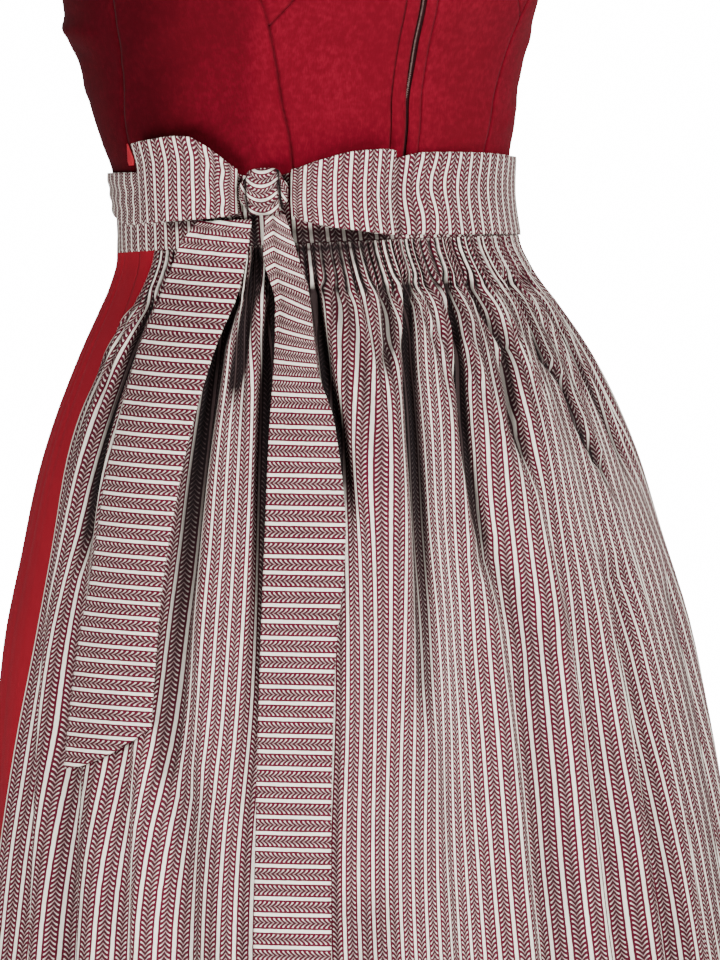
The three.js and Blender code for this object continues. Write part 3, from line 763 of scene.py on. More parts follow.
@dataclass
class Bodice:
    """Fitted zip-front bodice in cord velvet."""

    materials: Wardrobe
    cloth: float = 1.2
    waist_seam: float = -2.85
    cup_start: float = 103
    armhole: float = 190
    neckline: float = 212
    back_neckline: float = 300
    shoulder: float = 387.9
    welt: float = 4.4
    seam_dip: float = 0.9
    seam_width: float = 1.6
    # where the upper sides swell: turn, rise, and the heights between which the swell begins
    fullness: tuple[tuple[float, float, float, float], ...] = (
        (-98, 4.5, 84, 112),
        (96, 4, 80, 122),
    )
    full_reach: float = 30
    creases: tuple[Crease, ...] = (
        # a soft buckle round the wearer's right back and small ones above the ties
        Crease((-122, 112), (-92, 104), 6, 3.2),
        Crease((-122, 99), (-98, 93), 4, -2.0),
        Crease((-86, 84), (-62, 108), 7, 1.8),
        Crease((-84, 70), (-56, 92), 5, -1.2),
        Crease((-78, 48), (-50, 74), 6, 1.3),
        Crease((-60, 30), (-36, 52), 5, 1.2),
        Crease((-58, 22), (-34, 42), 4, -1.0),
        Crease((-30, 24), (-12, 36), 4, 0.9),
        Crease((-28, 18), (-10, 28), 3, -0.8),
        Crease((-88, 30), (-70, 40), 5, 1.1),
        Crease((14, 26), (34, 34), 4, 0.8),
        Crease((40, 36), (62, 52), 6, 1.2),
        Crease((52, 84), (80, 104), 7, 1.5),
        Crease((60, 62), (84, 78), 6, -1.1),
        Crease((96, 34), (124, 46), 6, 1.4),
        Crease((100, 86), (132, 98), 7, 1.8),
        Crease((104, 64), (136, 74), 6, -1.2),
        Crease((156, 30), (176, 38), 5, 1.0),
        Crease((184, 28), (208, 40), 5, 1.2),
        Crease((212, 60), (244, 76), 7, 1.5),
        Crease((150, 120), (182, 112), 8, 1.2),
        Crease((226, 96), (252, 108), 7, 1.6),
    )

    def surface(self, turn: Array, height: Array) -> Array:
        """Works out how far the outer face of the cloth stands off the form.

        Args:
            turn: Degrees round the body.
            height: Millimetres above the waist.

        Returns:
            Millimetres outwards at each point.
        """
        lift = 0.45 * waver(turn, height, 3, 42)
        for crease in self.creases:
            for lap in (0, -360, 360):
                lift = lift + crease.lift(turn + lap, height)
        calm = smooth(height, 18, 40) * (1 - 0.5 * smooth(height, 150, 220))
        full = sum(
            rise * bell(between(turn, centre), self.full_reach) * smooth(height, start, end)
            for centre, rise, start, end in self.fullness
        )
        return lift * calm + full * (1 - smooth(height, 140, 190))

    def cup_edge(self, height: Array) -> Array:
        """Outer edge of the front: the princess seam, then the cup seam above it."""
        low, high = SEAMS("princess", height), CUP_SEAM("turn", height)
        return np.where(height < self.cup_start, low, high)

    def back_edge(self, height: Array) -> Array:
        """Front edge of the side back: the side seam, then the armhole above it."""
        low, high = SEAMS("side", height), BACK_ARMHOLE("turn", height)
        return np.where(height < self.armhole, low, high)

    def panels(self) -> tuple[Panel, ...]:
        """Lists the cut pieces of one half.

        Returns:
            The front, the cup, the side front and the side back.
        """
        cup = lambda height: CUP_SEAM("turn", height)
        princess = lambda height: SEAMS("princess", height)
        side = lambda height: SEAMS("side", height)
        back_princess = lambda height: SEAMS("back_princess", height)
        welt = lambda height: np.full_like(height, self.welt)
        low, high = self.waist_seam, self.shoulder
        return (
            Panel(
                "front", 34, 110, low, self.neckline, welt, self.cup_edge,
                flat=(0.09, 0.225), area=0.0138, neck_drop=3,
            ),
            Panel(
                "cup", 36, 130, self.cup_start + 1, high, cup, princess,
                flat=(0.085, 0.33), area=0.0125,
            ),
            Panel(
                "side_front", 50, 160, low, high, princess, side,
                flat=(0.14, 0.44), area=0.0284,
            ),
            Panel(
                "side_back", 60, 160, low, high, self.back_edge, back_princess,
                flat=(0.17, 0.43), area=0.0453,
            ),
        )

    def panel(self, cut: Panel, side: int) -> bpy.types.Object:
        """Makes one panel.

        Args:
            cut: The piece.
            side: 1 for the wearer's left, -1 for the wearer's right.

        Returns:
            The sheet.
        """

        def place(across: Array, along: Array) -> tuple[Array, Array, Array]:
            """Places the panel, sunk along its seams and closed at the shoulder, with shade painted
            on the wearer's right side and darker along its seams.
            """
            s = across if side > 0 else 1 - across
            height = mix(cut.low, cut.high, along)
            height = height - cut.neck_drop * s * s * smooth(along, 0.8, 1)
            first, last = cut.first(height), cut.last(height)
            turn = side * mix(first, last, s)
            width = np.radians(last - first) * FORM.shape("half_width", height)
            from_edge = np.minimum(s, 1 - s) * width
            out = self.surface(turn, height) - self.seam_dip * bell(from_edge, self.seam_width)
            cloth = np.stack([s * width, height], axis=-1) * MM
            # painted shade: the wearer's right side is darkened as if turned away from the light
            painted_side_shade = 0.28 * smooth(-turn, 40, 46) + 0.30 * smooth(-turn, 56, 76)
            painted_side_shade = painted_side_shade * smooth(turn, -150, -110)
            points = FORM.place(turn, height, out)
            points[..., 1] *= 1 - smooth(height, 380, 387.8)
            # the panel is also darker along its seams
            return points, cloth, np.maximum(painted_side_shade, 0.3 * bell(from_edge, 1.0))

        name = f"velvet_{cut.name}_{'left' if side > 0 else 'right'}"
        piece = grid_object(name, cut.columns, cut.rows, place)
        thicken(piece, self.cloth)
        node = f"bodice_{cut.name}_{'left' if side > 0 else 'right'}"
        settle(piece, self.materials.velvet, [node])
        return piece

    def back(self) -> bpy.types.Object:
        """Makes the centre back panel."""

        def place(across: Array, along: Array) -> tuple[Array, Array]:
            """Places the panel from seam to seam across the back."""
            height = mix(self.waist_seam, self.back_neckline, along)
            edge = SEAMS("back_princess", height)
            turn = mix(edge, 360 - edge, across)
            width = np.radians(360 - 2 * edge) * FORM.shape("half_width", height)
            from_edge = np.minimum(across, 1 - across) * width
            out = self.surface(turn, height) - self.seam_dip * bell(from_edge, self.seam_width)
            return FORM.place(turn, height, out), np.stack([across * width, height], axis=-1) * MM

        piece = grid_object("velvet_back", 60, 130, place)
        thicken(piece, self.cloth)
        settle(piece, self.materials.velvet, ["bodice_back"])
        return piece

    def build(self) -> None:
        """Makes every panel of the bodice."""
        for cut in self.panels():
            for side in (1, -1):
                self.panel(cut, side)
        self.back()


# ------------------------------------------------------------------ zip
@dataclass
class Zip:
    """Two welts, the tape behind them and the chain between them, with slider and pull."""

    materials: Wardrobe
    top: float = 212
    low: float = -2.85
    pitch: float = 1.26
    tooth: tuple[float, float, float] = (0.0007, 0.0010, 0.0006)
    tape_width: float = 26
    welt_width: float = 9

    def welt(self, side: int) -> bpy.types.Object:
        """Makes one velvet welt beside the zip.

        Args:
            side: 1 for the wearer's left, -1 for the wearer's right.

        Returns:
            The sheet.
        """

        def place(across: Array, along: Array) -> tuple[Array, Array]:
            """Places the welt, rolled along both edges and closer to the teeth lower down."""
            height = mix(self.low, self.top, along)
            s = across if side > 0 else 1 - across
            closed = smooth(height, 82, 50)
            inner = mix(0.62, 0.08, closed) if side < 0 else mix(1.25, 0.75, closed)
            turn = side * mix(inner, 4.5, s)
            roll = -1.1 * bell(s, 0.14) - 0.9 * bell(1 - s, 0.16)
            out = 0.5 + roll + 0.5 * np.sin(np.pi * s)
            out = out + 0.25 * waver(turn * 4, height, 9 + side, 30)
            cloth = np.stack([s * self.welt_width, height], axis=-1) * MM
            return FORM.place(turn, height, out), cloth

        name = "left" if side > 0 else "right"
        piece = grid_object(f"velvet_welt_{name}", 14, 170, place)
        thicken(piece, 1.6)
        settle(piece, self.materials.velvet, [f"zip_welt_{name}"])
        return piece

    def tape(self) -> bpy.types.Object:
        """Makes the woven tape behind the welts.

        Returns:
            The sheet.
        """

        def place(across: Array, along: Array) -> tuple[Array, Array]:
            """Places the tape flat behind both welts."""
            height = mix(self.low, self.top - 3, along)
            turn = mix(-6, 6, across)
            cloth = np.stack([across * self.tape_width, height], axis=-1) * MM
            return FORM.place(turn, height, -1.8), cloth

        piece = grid_object("tape", 12, 90, place)
        thicken(piece, 0.8)
        settle(piece, self.materials.tape, ["zip_tape"])
        return piece

    def chain(self) -> bpy.types.Object:
        """Makes the teeth, one small bevelled block for each pitch and side.

        Returns:
            The row of teeth.
        """
        mesh = bmesh.new()
        count = int((self.top - 8 - self.low) / self.pitch)
        for i in range(count):
            for side in (-1, 1):
                height = self.low + (i + (0.25 if side > 0 else 0.75)) * self.pitch
                turn, out = (-0.12, -0.5) if side < 0 else (0.26, -1.3)
                out -= 1.5 * float(smooth(height, 68, 50))
                centre, ahead, above = FORM.place(
                    np.array([turn, turn + 0.2, turn]), np.array([height, height, height + 1]), out
                )
                x = Vector(ahead - centre).normalized()
                z = Vector(above - centre).normalized()
                y = z.cross(x)
                turned = Matrix((x, y, z)).transposed().to_4x4()
                turned.translation = Vector(centre)
                shape = Matrix.Diagonal((*self.tooth, 1))
                bmesh.ops.create_cube(mesh, size=1, matrix=turned @ shape)
        bmesh.ops.bevel(
            mesh, geom=list(mesh.edges), offset=0.0001, affect="EDGES", segments=1,
            profile=0.5, material=-1,
        )
        piece = object_from("teeth", mesh)
        return settle(piece, self.materials.metal, ["zip_chain"])

    def build(self) -> None:
        """Makes the zip and finishes its two metal nodes."""
        for side in (1, -1):
            self.welt(side)
        self.tape()
        self.chain()
        for name in ("zip_slider", "zip_pull"):
            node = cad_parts[name]
            node.data.materials.clear()
            node.data.materials.append(self.materials.metal)


# ------------------------------------------------------------------ skirt and apron
@dataclass
class Skirt:
    """Full red skirt: plain under the apron, in soft folds behind."""

    materials: Wardrobe
    cloth: float = 1.2
    top: float = -3.15
    hem: float = -650
    folds: tuple[tuple[float, float, float], ...] = (
        (100, 5, 10),
        (112, 6, 15),
        (127, 5.5, 12),
        (141, 6.5, 18),
        (156, 5.5, 14),
        (170, 6.5, 18),
        (186, 6, 15),
        (201, 6.5, 16),
        (217, 5.5, 14),
        (231, 6.5, 15),
        (246, 5.5, 10),
        (258, 5, 8),
    )
    hem_half_width: float = 243
    set_in: float = 6

    def out(self, turn: Array, height: Array) -> Array:
        """Works out the large folds, which open towards the hem.

        Args:
            turn: Degrees round the body.
            height: Millimetres above the waist.

        Returns:
            Millimetres outwards at each point.
        """
        opening = smooth(-height, 40, 650)
        return opening * sum(
            rise * bell(between(turn, centre), width) for centre, width, rise in self.folds
        )

    def fine(self, turn: Array, height: Array) -> Array:
        """Works out the small gathers at the waist and the slow sway, behind the apron only.

        Args:
            turn: Degrees round the body.
            height: Millimetres above the waist.

        Returns:
            Millimetres outwards at each point.
        """
        behind = smooth(np.abs(between(turn, 180)), 84, 74)
        fade = smooth(-height, 4, 22) * (1 - 0.8 * smooth(-height, 60, 240))
        phase = turn * 0.62 + 0.9 * np.sin(turn * 0.13) + 0.5 * np.sin(height * 0.012 + turn * 0.05)
        uneven = 1 + 0.45 * waver(turn, height * 0.05, 77, 20)
        gathers = (np.abs(np.sin(phase)) ** 0.8 - 0.5) * uneven
        sway = 0.8 * smooth(-height, 60, 200) * waver(turn, height * 0.25, 21, 26)
        return behind * (fade * 1.8 * gathers + sway)

    def half(
        self, name: str, start: float, end: float, columns: int, node: str
    ) -> bpy.types.Object:
        """Makes the front or the back of the skirt.

        Args:
            name: Name of the piece.
            start: Turn of its first edge.
            end: Turn of its last edge.
            columns: Cells across.
            node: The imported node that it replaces.

        Returns:
            The sheet.
        """

        def place(across: Array, along: Array) -> tuple[Array, Array]:
            """Places the half, set in under the apron."""
            height = mix(self.hem, self.top, along**0.8)
            turn = mix(start, end, across)
            under = smooth(np.abs(between(turn, 0)), 86, 78)
            out = self.out(turn, height) + self.fine(turn, height)
            out = out - self.set_in * under * smooth(-height, 10, 24)
            width = math.radians(end - start) * self.hem_half_width
            return FORM.place(turn, height, out), np.stack([across * width, height], axis=-1) * MM

        piece = grid_object(name, columns, 130, place)
        thicken(piece, self.cloth)
        settle(piece, self.materials.cotton, [node])
        return piece

    def build(self) -> None:
        """Makes both halves."""
        front = self.half("red_front", -90, 90, 150, "skirt_front")
        back = self.half("red_back", 90, 270, 300, "skirt_back")


@dataclass(frozen=True)
class Hollow:
    """A sunk channel between two folds of the apron, along a path of (height, turn), with shade
    painted in it.
    """

    path: tuple[tuple[float, float], ...]
    width: float
    depth: float
    fade: float = 26
    # share of the full painted shade laid in the channel
    shade: float = 1.0

    def sink(self, turn: Array, height: float) -> Array:
        """Works out how far the channel is open along one level.

        Args:
            turn: Degrees round the body.
            height: The level, in millimetres above the waist.

        Returns:
            From 0 outside the channel to 1 in it, at each turn.
        """
        heights = [-point[0] for point in self.path]
        centre = np.interp(-height, heights, [point[1] for point in self.path])
        open_part = smooth(-height, heights[0] - 12, heights[0] + 3) * (
            1 - smooth(-height, heights[-1] - self.fade * 0.4, heights[-1] + self.fade)
        )
        return open_part / (1 + ((turn - centre) / self.width) ** 4)


@dataclass
class Apron:
    """Striped apron: gauged under its band, then falling in folds."""

    materials: Wardrobe
    skirt: Skirt
    cloth: float = 1.2
    inside: float = 0.5
    deepest: float = -4.0
    gather_depth: float = 3.0
    stitch_rows: tuple[float, ...] = (30, 39, 48, 55)
    flat_width: float = 0.806
    gathers: tuple[int, ...] = (6, 5, 7, 6, 5, 6, 7, 6)
    columns: int = 624
    levels: int = 72
    edge: Table = Table(
        "height turn",
        [
            (-27, 80.2), (-50, 83.1), (-82, 88.4), (-113, 92.2),
            (-229, 94), (-340, 99.5), (-446, 102.4), (-650, 105),
        ],
    )
    swell: Table = Table(
        "height out",
        [
            (-650, 9.5), (-260, 8.7), (-130, 7.7), (-90, 6.4),
            (-68, 4.6), (-56, 2.6), (-40, 1.8), (-27, 1.6),
        ],
    )
    rows: Table = Table(
        "t height",
        [(0, -612), (0.20, -330), (0.46, -110), (0.62, -76), (0.78, -56), (1, -26.8)],
    )
    # turns of twelve stripes as they fall, and how many repeats in from the first edge they lie
    fall: Table = Table(
        "height a b c d e f g h i j k l",
        [
            (-650, -96, -86, -63, -52.5, -30, -24, -18, -11.5, -4.5, 2.5, 10, 30),
            (-427, -93.2, -84.6, -61.7, -51.5, -29.7, -23.6, -17.4, -11.1, -4.4, 2.6, 10.3, 29.7),
            (-306, -88.7, -79.4, -56.5, -47.9, -27.4, -21.2, -15, -10.5, -4, 3.3, 10.6, 26.6),
            (-187, -84.7, -76.3, -53.5, -46, -25, -17.9, -12.4, -8, -2, 5.6, 13.6, 25),
            (-126, -82.5, -73.8, -52.3, -45.5, -23, -15.2, -10.2, -5, 1.8, 8.3, 16.3, 26.5),
            (-96, -81, -72.5, -52, -45.6, -21.5, -13.5, -8.2, -2.6, 5.2, 11, 18.6, 29),
            (-60, -77.5, -70.5, -50.8, -45.8, -19.5, -12, -4.6, 1, 9, 14.2, 21, 33),
            (-27, -74.5, -67, -49, -44.5, -20, -12.5, -5, 1, 9.5, 14.5, 21, 33),
        ],
    )
    repeats: tuple[float, ...] = (
        0, 2.8, 5.5, 13.2, 17.1, 26.1, 29, 32.4, 36, 39, 41.8, 44.5, 51, 84,
    )
    # slow folds that lean towards the middle: lowest and highest places of each
    drape: Table = Table(
        "turn out",
        [
            (-107, -1), (-101, 0.6), (-91, -1), (-89, 0.8), (-80, -1), (-77.5, 0.7),
            (-68, -0.9), (-66, 0.5), (-57, -0.8), (-54, 0.4), (-45, -0.6), (-37, 0),
            (-28, -0.5), (-17, 0.5), (-14.5, -0.7), (-4, 0.7), (-1.5, -0.8), (9, 1),
            (11.5, -0.8), (20.5, 1), (23, -1), (32, 0.8), (34.5, -1), (45, 1),
            (47.5, -0.9), (56, 1), (58.5, -1), (68, 0.9), (71, -1), (82, 1),
            (85, -0.8), (96, 0.8), (99, -0.8), (107, 0.5),
        ],
    )
    hollows: tuple[Hollow, ...] = (
        Hollow(((-60, -78), (-120, -80), (-200, -82)), 1.7, 7),
        Hollow(
            (
                (-58, -51.9), (-87, -54.5), (-127, -55.6), (-194, -57.6), (-284, -59.8),
                (-330, -61),
            ),
            2.6, 12, 50,
        ),
        Hollow(
            (
                (-36, -40.4), (-58, -40.2), (-83, -41.5), (-119, -42.4), (-166, -43.0),
                (-300, -43.4),
            ),
            1.7, 9, 60,
        ),
        Hollow(((-30, -43.8), (-52, -46), (-80, -47.5), (-110, -49)), 1.9, 4),
        Hollow(
            (
                (-56, -29.1), (-84, -29.0), (-107, -29.0), (-139, -27.7), (-175, -27.0),
            ),
            1.5, 11, 40,
        ),
        Hollow(((-56, -23.5), (-75, -23.8)), 1.0, 4, 20, 0.6),
        Hollow(((-58, -10.7), (-74, -12.2), (-89, -13.6), (-100, -15.3)), 1.6, 7, 24, 0.8),
        Hollow(
            (
                (-56, -3.5), (-72, -6.3), (-91, -9.0), (-118, -11.4), (-146, -12.7),
                (-200, -14.2), (-248, -15.9), (-300, -17.0),
            ),
            1.6, 12, 30,
        ),
        Hollow(
            (
                (-56, 8.4), (-74, 5.5), (-92, 3.0), (-111, 0.7), (-129, -1.1), (-154, -2.7),
                (-190, -3.2), (-215, -3.0),
            ),
            1.4, 9, 26,
        ),
        Hollow(
            (
                (-58, 15.7), (-72, 14.8), (-84, 15.2), (-95, 15.9), (-112, 13.0), (-140, 10.0),
                (-158, 10.2),
            ),
            1.7, 8.5, 30, 0.9,
        ),
        Hollow(
            (
                (-56, 32.2), (-74, 30.4), (-87, 28.6), (-102, 27.4), (-119, 29.4),
                (-138, 28.6), (-155, 29.5), (-174, 32.2),
            ),
            1.6, 9, 22,
        ),
        Hollow(((-56, 43), (-80, 42), (-120, 41), (-160, 42)), 1.8, 7, 30, 0.8),
        Hollow(((-57, 54), (-90, 52), (-150, 50.5)), 1.6, 7.5, 40),
        Hollow(((-56, 64), (-100, 62), (-240, 58)), 1.8, 9, 50),
        Hollow(((-58, 76), (-90, 75), (-150, 74)), 1.6, 7.5, 30),
        Hollow(
            (
                (-221, -2.9), (-250, 1), (-275, 3.8), (-304, 2.2), (-334, 2.0), (-420, 2.4),
                (-620, 0),
            ),
            3.2, 5.5, 60, 0.35,
        ),
        Hollow(((-229, 25.4), (-277, 23.2), (-420, 24), (-620, 26)), 3.6, 4.5, 60, 0.3),
        Hollow(((-300, -79), (-650, -82)), 4, 6, 60, 0.5),
        Hollow(((-350, -56), (-650, -54)), 4, 6, 60, 0.5),
        Hollow(((-420, -28), (-650, -27)), 4, 5, 60, 0.5),
        Hollow(((-240, 46), (-620, 42)), 4, 5, 60, 0.4),
        Hollow(((-290, 72), (-640, 66)), 4.4, 6, 60, 0.5),
    )

    def gathered(self) -> tuple[Array, Array, Array]:
        """The gauged gathers, column by column.

        Returns:
            How far along its gather each column lies, from 0 to 1, how deep it is tucked,
            from 0 on a crest to 1 in a valley, and how many columns its gather has.
        """
        wide = np.tile(self.gathers, self.columns // sum(self.gathers))
        starts = np.concatenate(([0], np.cumsum(wide)))
        column = np.arange(self.columns + 1)
        i = np.clip(np.searchsorted(starts, column, side="right") - 1, 0, len(starts) - 2)
        wide = starts[i + 1] - starts[i]
        along = (column - starts[i]) / wide
        depth = (0.5 + 0.5 * np.cos(along * math.tau)) ** 1.3
        return along, depth * (0.85 + 0.2 * np.sin(column * 0.37) * np.sin(column * 0.11)), wide

    def pleated(self, turn: Array, height: float) -> Array:
        """Works out the small pleats that run on below the gauging.

        Args:
            turn: Degrees round the body.
            height: The level, in millimetres above the waist.

        Returns:
            Their depth at each turn, from 0 to 1.
        """
        uneven = 0.35 * np.sin(turn * 0.31)
        phase = turn * 0.19 + uneven + 0.2 * np.sin(turn * 0.83 + 2) - height * 0.0012
        return (0.5 + 0.5 * np.cos(phase * math.tau)) ** 2

    def out(self, turn: Array, height: float) -> tuple[Array, Array]:
        """Works out the outer face of the apron along one level.

        Args:
            turn: Degrees round the body.
            height: The level, in millimetres above the waist.

        Returns:
            Millimetres outwards, and how much shade is painted on the cloth, from 0 to 1.
        """
        pleats = float(smooth(-height, 54, 66) * (1 - smooth(-height, 90, 190)))
        pleated = self.pleated(turn, height)
        sunk = shade = np.zeros_like(turn)
        for hollow in self.hollows:
            opening = hollow.sink(turn, height)
            lower = 1 - 0.45 * float(smooth(-height, 140, 320))
            sunk = sunk + hollow.depth * opening * lower
            # painted shade in each hollow
            shade = np.maximum(shade, hollow.shade * smooth(opening, 0.25, 0.8) * lower)
        out = (
            self.inside
            + self.cloth
            + float(self.swell("out", height)) * (1 - 0.55 * smooth(np.abs(turn), 84, 101))
            - 2.2 * pleats * pleated
            - sunk
            + self.skirt.out(turn, height)
            + 0.5 * waver(turn, height * 0.4, 5, 16) * float(smooth(-height, 60, 120))
            + float(mix(1.2, 4.2, smooth(-height, 110, 340)) * smooth(-height, 60, 110))
            * (self.drape("out", turn) - smooth(turn, 0, -28))
        )
        # painted shade in the small pleats, and painted shadow of the bow on the gauging under it
        shade = np.maximum(shade, 0.5 * pleats * pleated)
        under_bow = smooth(turn, -38, -33) * smooth(turn, -4, -16) * float(smooth(height, -52, -30))
        shade = np.maximum(shade, 0.8 * under_bow)
        return np.maximum(out, self.deepest), np.clip(shade, 0, 1)

    def spread(self, height: float, cloth_places: Array) -> Array:
        """Finds where each column of the cloth lies at one level.

        Folded stretches take more cloth than they show, which draws in the cloth beside them.

        Args:
            height: The level.
            cloth_places: Places across the flat cloth, from 0 to 1.

        Returns:
            The turn of each place.
        """
        edge = float(self.edge("turn", height))
        turn = np.linspace(-edge, edge, 4200)
        out, _ = self.out(turn, height)
        points = FORM.place(turn, height, out)
        run = np.hypot(np.linalg.norm(np.diff(points, axis=0), axis=1), 0.8 * np.diff(out) * MM)
        length = np.concatenate(([0], np.cumsum(run)))
        ahead = length / length[-1] - (turn + edge) / (2 * edge)
        window = 301
        padded = np.concatenate((-ahead[window:0:-1], ahead, -ahead[-2 : -window - 2 : -1]))
        slow = np.convolve(padded, np.ones(window) / window, "same")[window:-window]
        lines = [-edge, *(float(self.fall(name, height)) for name in "abcdefghijkl"), edge]
        fallen = Table("turn part", list(zip(lines, np.array(self.repeats) / self.repeats[-1])))
        part = np.maximum.accumulate(fallen("part", turn) + ahead - slow)
        return np.interp(cloth_places, part + np.linspace(0, 1e-6, len(part)), turn)

    def place(self, across: Array, along: Array) -> tuple[Array, Array, Array]:
        """Places the whole apron, level by level.

        Args:
            across: Place across the flat cloth, from 0 to 1.
            along: Place from the hem, at 0, to the band, at 1.

        Returns:
            Points, flat cloth places, and painted shade with darkened stitch rows, for each place.
        """
        order = np.rint(along * self.levels).astype(int)
        column = np.rint(across * self.columns).astype(int)
        heights = self.rows("height", np.linspace(0, 1, self.levels + 1))
        places = np.linspace(0, 1, self.columns + 1)
        along_gather, depth, wide = self.gathered()
        gauged = smooth(-heights, 25, 28.5) * (1 - smooth(-heights, 54, 66))
        drawn = 0.05 * wide * np.sin(along_gather * math.tau) / self.columns
        turns = np.array(
            [self.spread(float(h), places - held * drawn) for h, held in zip(heights, gauged)]
        )
        hanging = heights < -58
        for _ in range(4):
            eased = turns.copy()
            eased[1:-1] = (turns[:-2] + 2 * turns[1:-1] + turns[2:]) / 4
            turns[hanging] = eased[hanging]
        points = np.zeros((*turns.shape, 3))
        tucked = np.zeros(turns.shape)
        for i, (height, held) in enumerate(zip(heights, gauged)):
            out, shade = self.out(turns[i], float(height))
            stitched = sum(bell(height + row, 1.2) for row in self.stitch_rows)
            out = out - self.gather_depth * held * depth * (1 - 0.2 * stitched)
            # painted shade in the hollows and in the valleys of the gathers, plus darkened stitch
            # rows
            valley = np.maximum(shade, 0.95 * held * smooth(depth, 0.06, 0.62))
            tucked[i] = np.clip(valley + 0.3 * held * stitched, 0, 1)
            points[i] = FORM.place(turns[i], height, np.maximum(out, self.deepest))
        cloth = np.stack([across * self.flat_width, heights[order] * MM], axis=-1)
        return points[order, column], cloth, tucked[order, column]

    def build(self) -> bpy.types.Object:
        """Makes the apron's skirt."""
        piece = grid_object("striped_apron", self.columns, self.levels, self.place)
        thicken(piece, 1.0)
        settle(piece, self.materials.stripe, ["apron_skirt"])
        return piece


# ------------------------------------------------------------------ ties and bow
TIE_WIDTH = 48


@dataclass(frozen=True)
class Lap:
    """One stretch of band or tie round the waist.

    It runs from a start to an end turn between a bottom and a top edge, `out` from the form.
    Its ruffle says how much its creases stand out. Showing, meant as the share of its width that
    isn't folded away, is not used.
    """

    name: str
    node: str
    start: float
    end: float
    columns: int
    top: Edge
    bottom: Edge
    out: float
    ruffle: float
    showing: float = 1.0


@dataclass
class Ties:
    """Waistband and the two laps of the ties round the waist."""

    materials: Wardrobe
    cloth: float = 1.5
    radius: float = 118
    back_end: float = 179.9
    band_out: float = 2.3
    wrap_out: float = 4.6
    band_turn: float = 80.2
    band_top: float = 20
    band_bottom: float = -26.5
    left_wrap: Table = Table(
        "turn top bottom",
        [
            (-33, 14, -12), (-12, 17, -21), (-1, 22.5, -24), (5, 24.4, -24.5),
            (24, 23.4, -25.5), (58, 20.5, -26.5), (120, 21, -26.5), (180, 21, -24),
        ],
    )
    right_wrap: Table = Table(
        "turn top bottom",
        [
            (-180, 21, -16), (-150, 21.8, -7), (-117, 21.8, -3), (-90, 21, -10.5),
            (-65, 18, -10), (-47, 14, -9),
        ],
    )

    def lap(self, cut: Lap) -> bpy.types.Object:
        """Makes one stretch of tie.

        Args:
            cut: The stretch.

        Returns:
            The sheet.
        """

        def place(across: Array, along: Array) -> tuple[Array, Array, Array]:
            """Places the stretch, creased and crumpled, with painted shadow under the bow's loops
            and painted shade in the gap between the tails.
            """
            turn = mix(cut.start, cut.end, across)
            height = mix(cut.bottom(turn), cut.top(turn), along)
            edge_roll = -0.35 * (bell(along, 0.03) + bell(1 - along, 0.03))
            lift = cut.ruffle * 0.35 * waver(turn, height, 31, 14)
            if cut.ruffle > 0.9:
                folds = np.sin(along * 17 + 0.7 * np.sin(turn * 0.11) + 0.4 * np.sin(turn * 0.31))
                lift = lift + 0.35 * folds * np.sin(np.pi * along) ** 0.3
            drift = 0.9 * cut.ruffle * waver(turn, height * 1.4, 33, 20)
            crumple = 1.5 * bell(turn - 8, 8) * np.sin(height * 0.15 + 0.4) * (cut.out > 4)
            length = turn * math.radians(1) * self.radius + drift + crumple
            slim = 1.6 * bell(turn + 122, 28) if cut.start < -100 else 0
            # painted shade in the gap between the tails, and painted shadow under the two loops
            gap = bell(turn + 44.2, 2.2) * smooth(-height, -8, -4)
            under = smooth(turn, -38, -35) * smooth(turn, -1, -5) * smooth(height, -14, -20)
            behind = smooth(turn, -76, -73) * smooth(turn, -46, -49)
            behind = behind * smooth(height, -5, -9) * smooth(height, -17, -12)
            return (
                FORM.place(turn, height, cut.out + edge_roll + lift - slim),
                np.stack([length, along * TIE_WIDTH], axis=-1) * MM,
                np.clip(gap + 0.85 * under + 0.75 * behind, 0, 1),
            )

        piece = grid_object(cut.name, cut.columns, 24, place)
        thicken(piece, self.cloth)
        settle(piece, self.materials.stripe, [cut.node])
        return piece

    def laps(self) -> tuple[Lap, ...]:
        """Lists the band and the four laps.

        Returns:
            The stretches, from the inside out.
        """
        top = lambda turn: self.band_top - 6.5 * bell(turn + 40.5, 11)
        bottom = lambda turn: np.full_like(turn, self.band_bottom)
        inner = (100, top, bottom, self.band_out, 0.5)
        right = [lambda turn, edge=edge: self.right_wrap(edge, turn) for edge in ("top", "bottom")]
        left = [lambda turn, edge=edge: self.left_wrap(edge, turn) for edge in ("top", "bottom")]
        end, start = self.back_end, self.band_turn
        return (
            Lap("band", "apron_waistband", -start, start, 150, top, bottom, self.band_out, 0.3),
            Lap("first_lap_right", "apron_tie_inner_right", -end, -80.3, *inner),
            Lap("first_lap_left", "apron_tie_inner_left", 80.3, end, *inner),
            Lap(
                "second_lap_right", "apron_tie_outer_right", -end, -47.3, 150, *right,
                self.wrap_out, 1.0, 0.62,
            ),
            Lap(
                "second_lap_left", "apron_tie_outer_left", -33.3, end, 230, *left,
                self.wrap_out, 0.5,
            ),
        )

    def build(self) -> None:
        """Makes the band and the four laps."""
        for cut in self.laps():
            self.lap(cut)


Creasing = Callable[[Array, Array], tuple[Array, Array]]


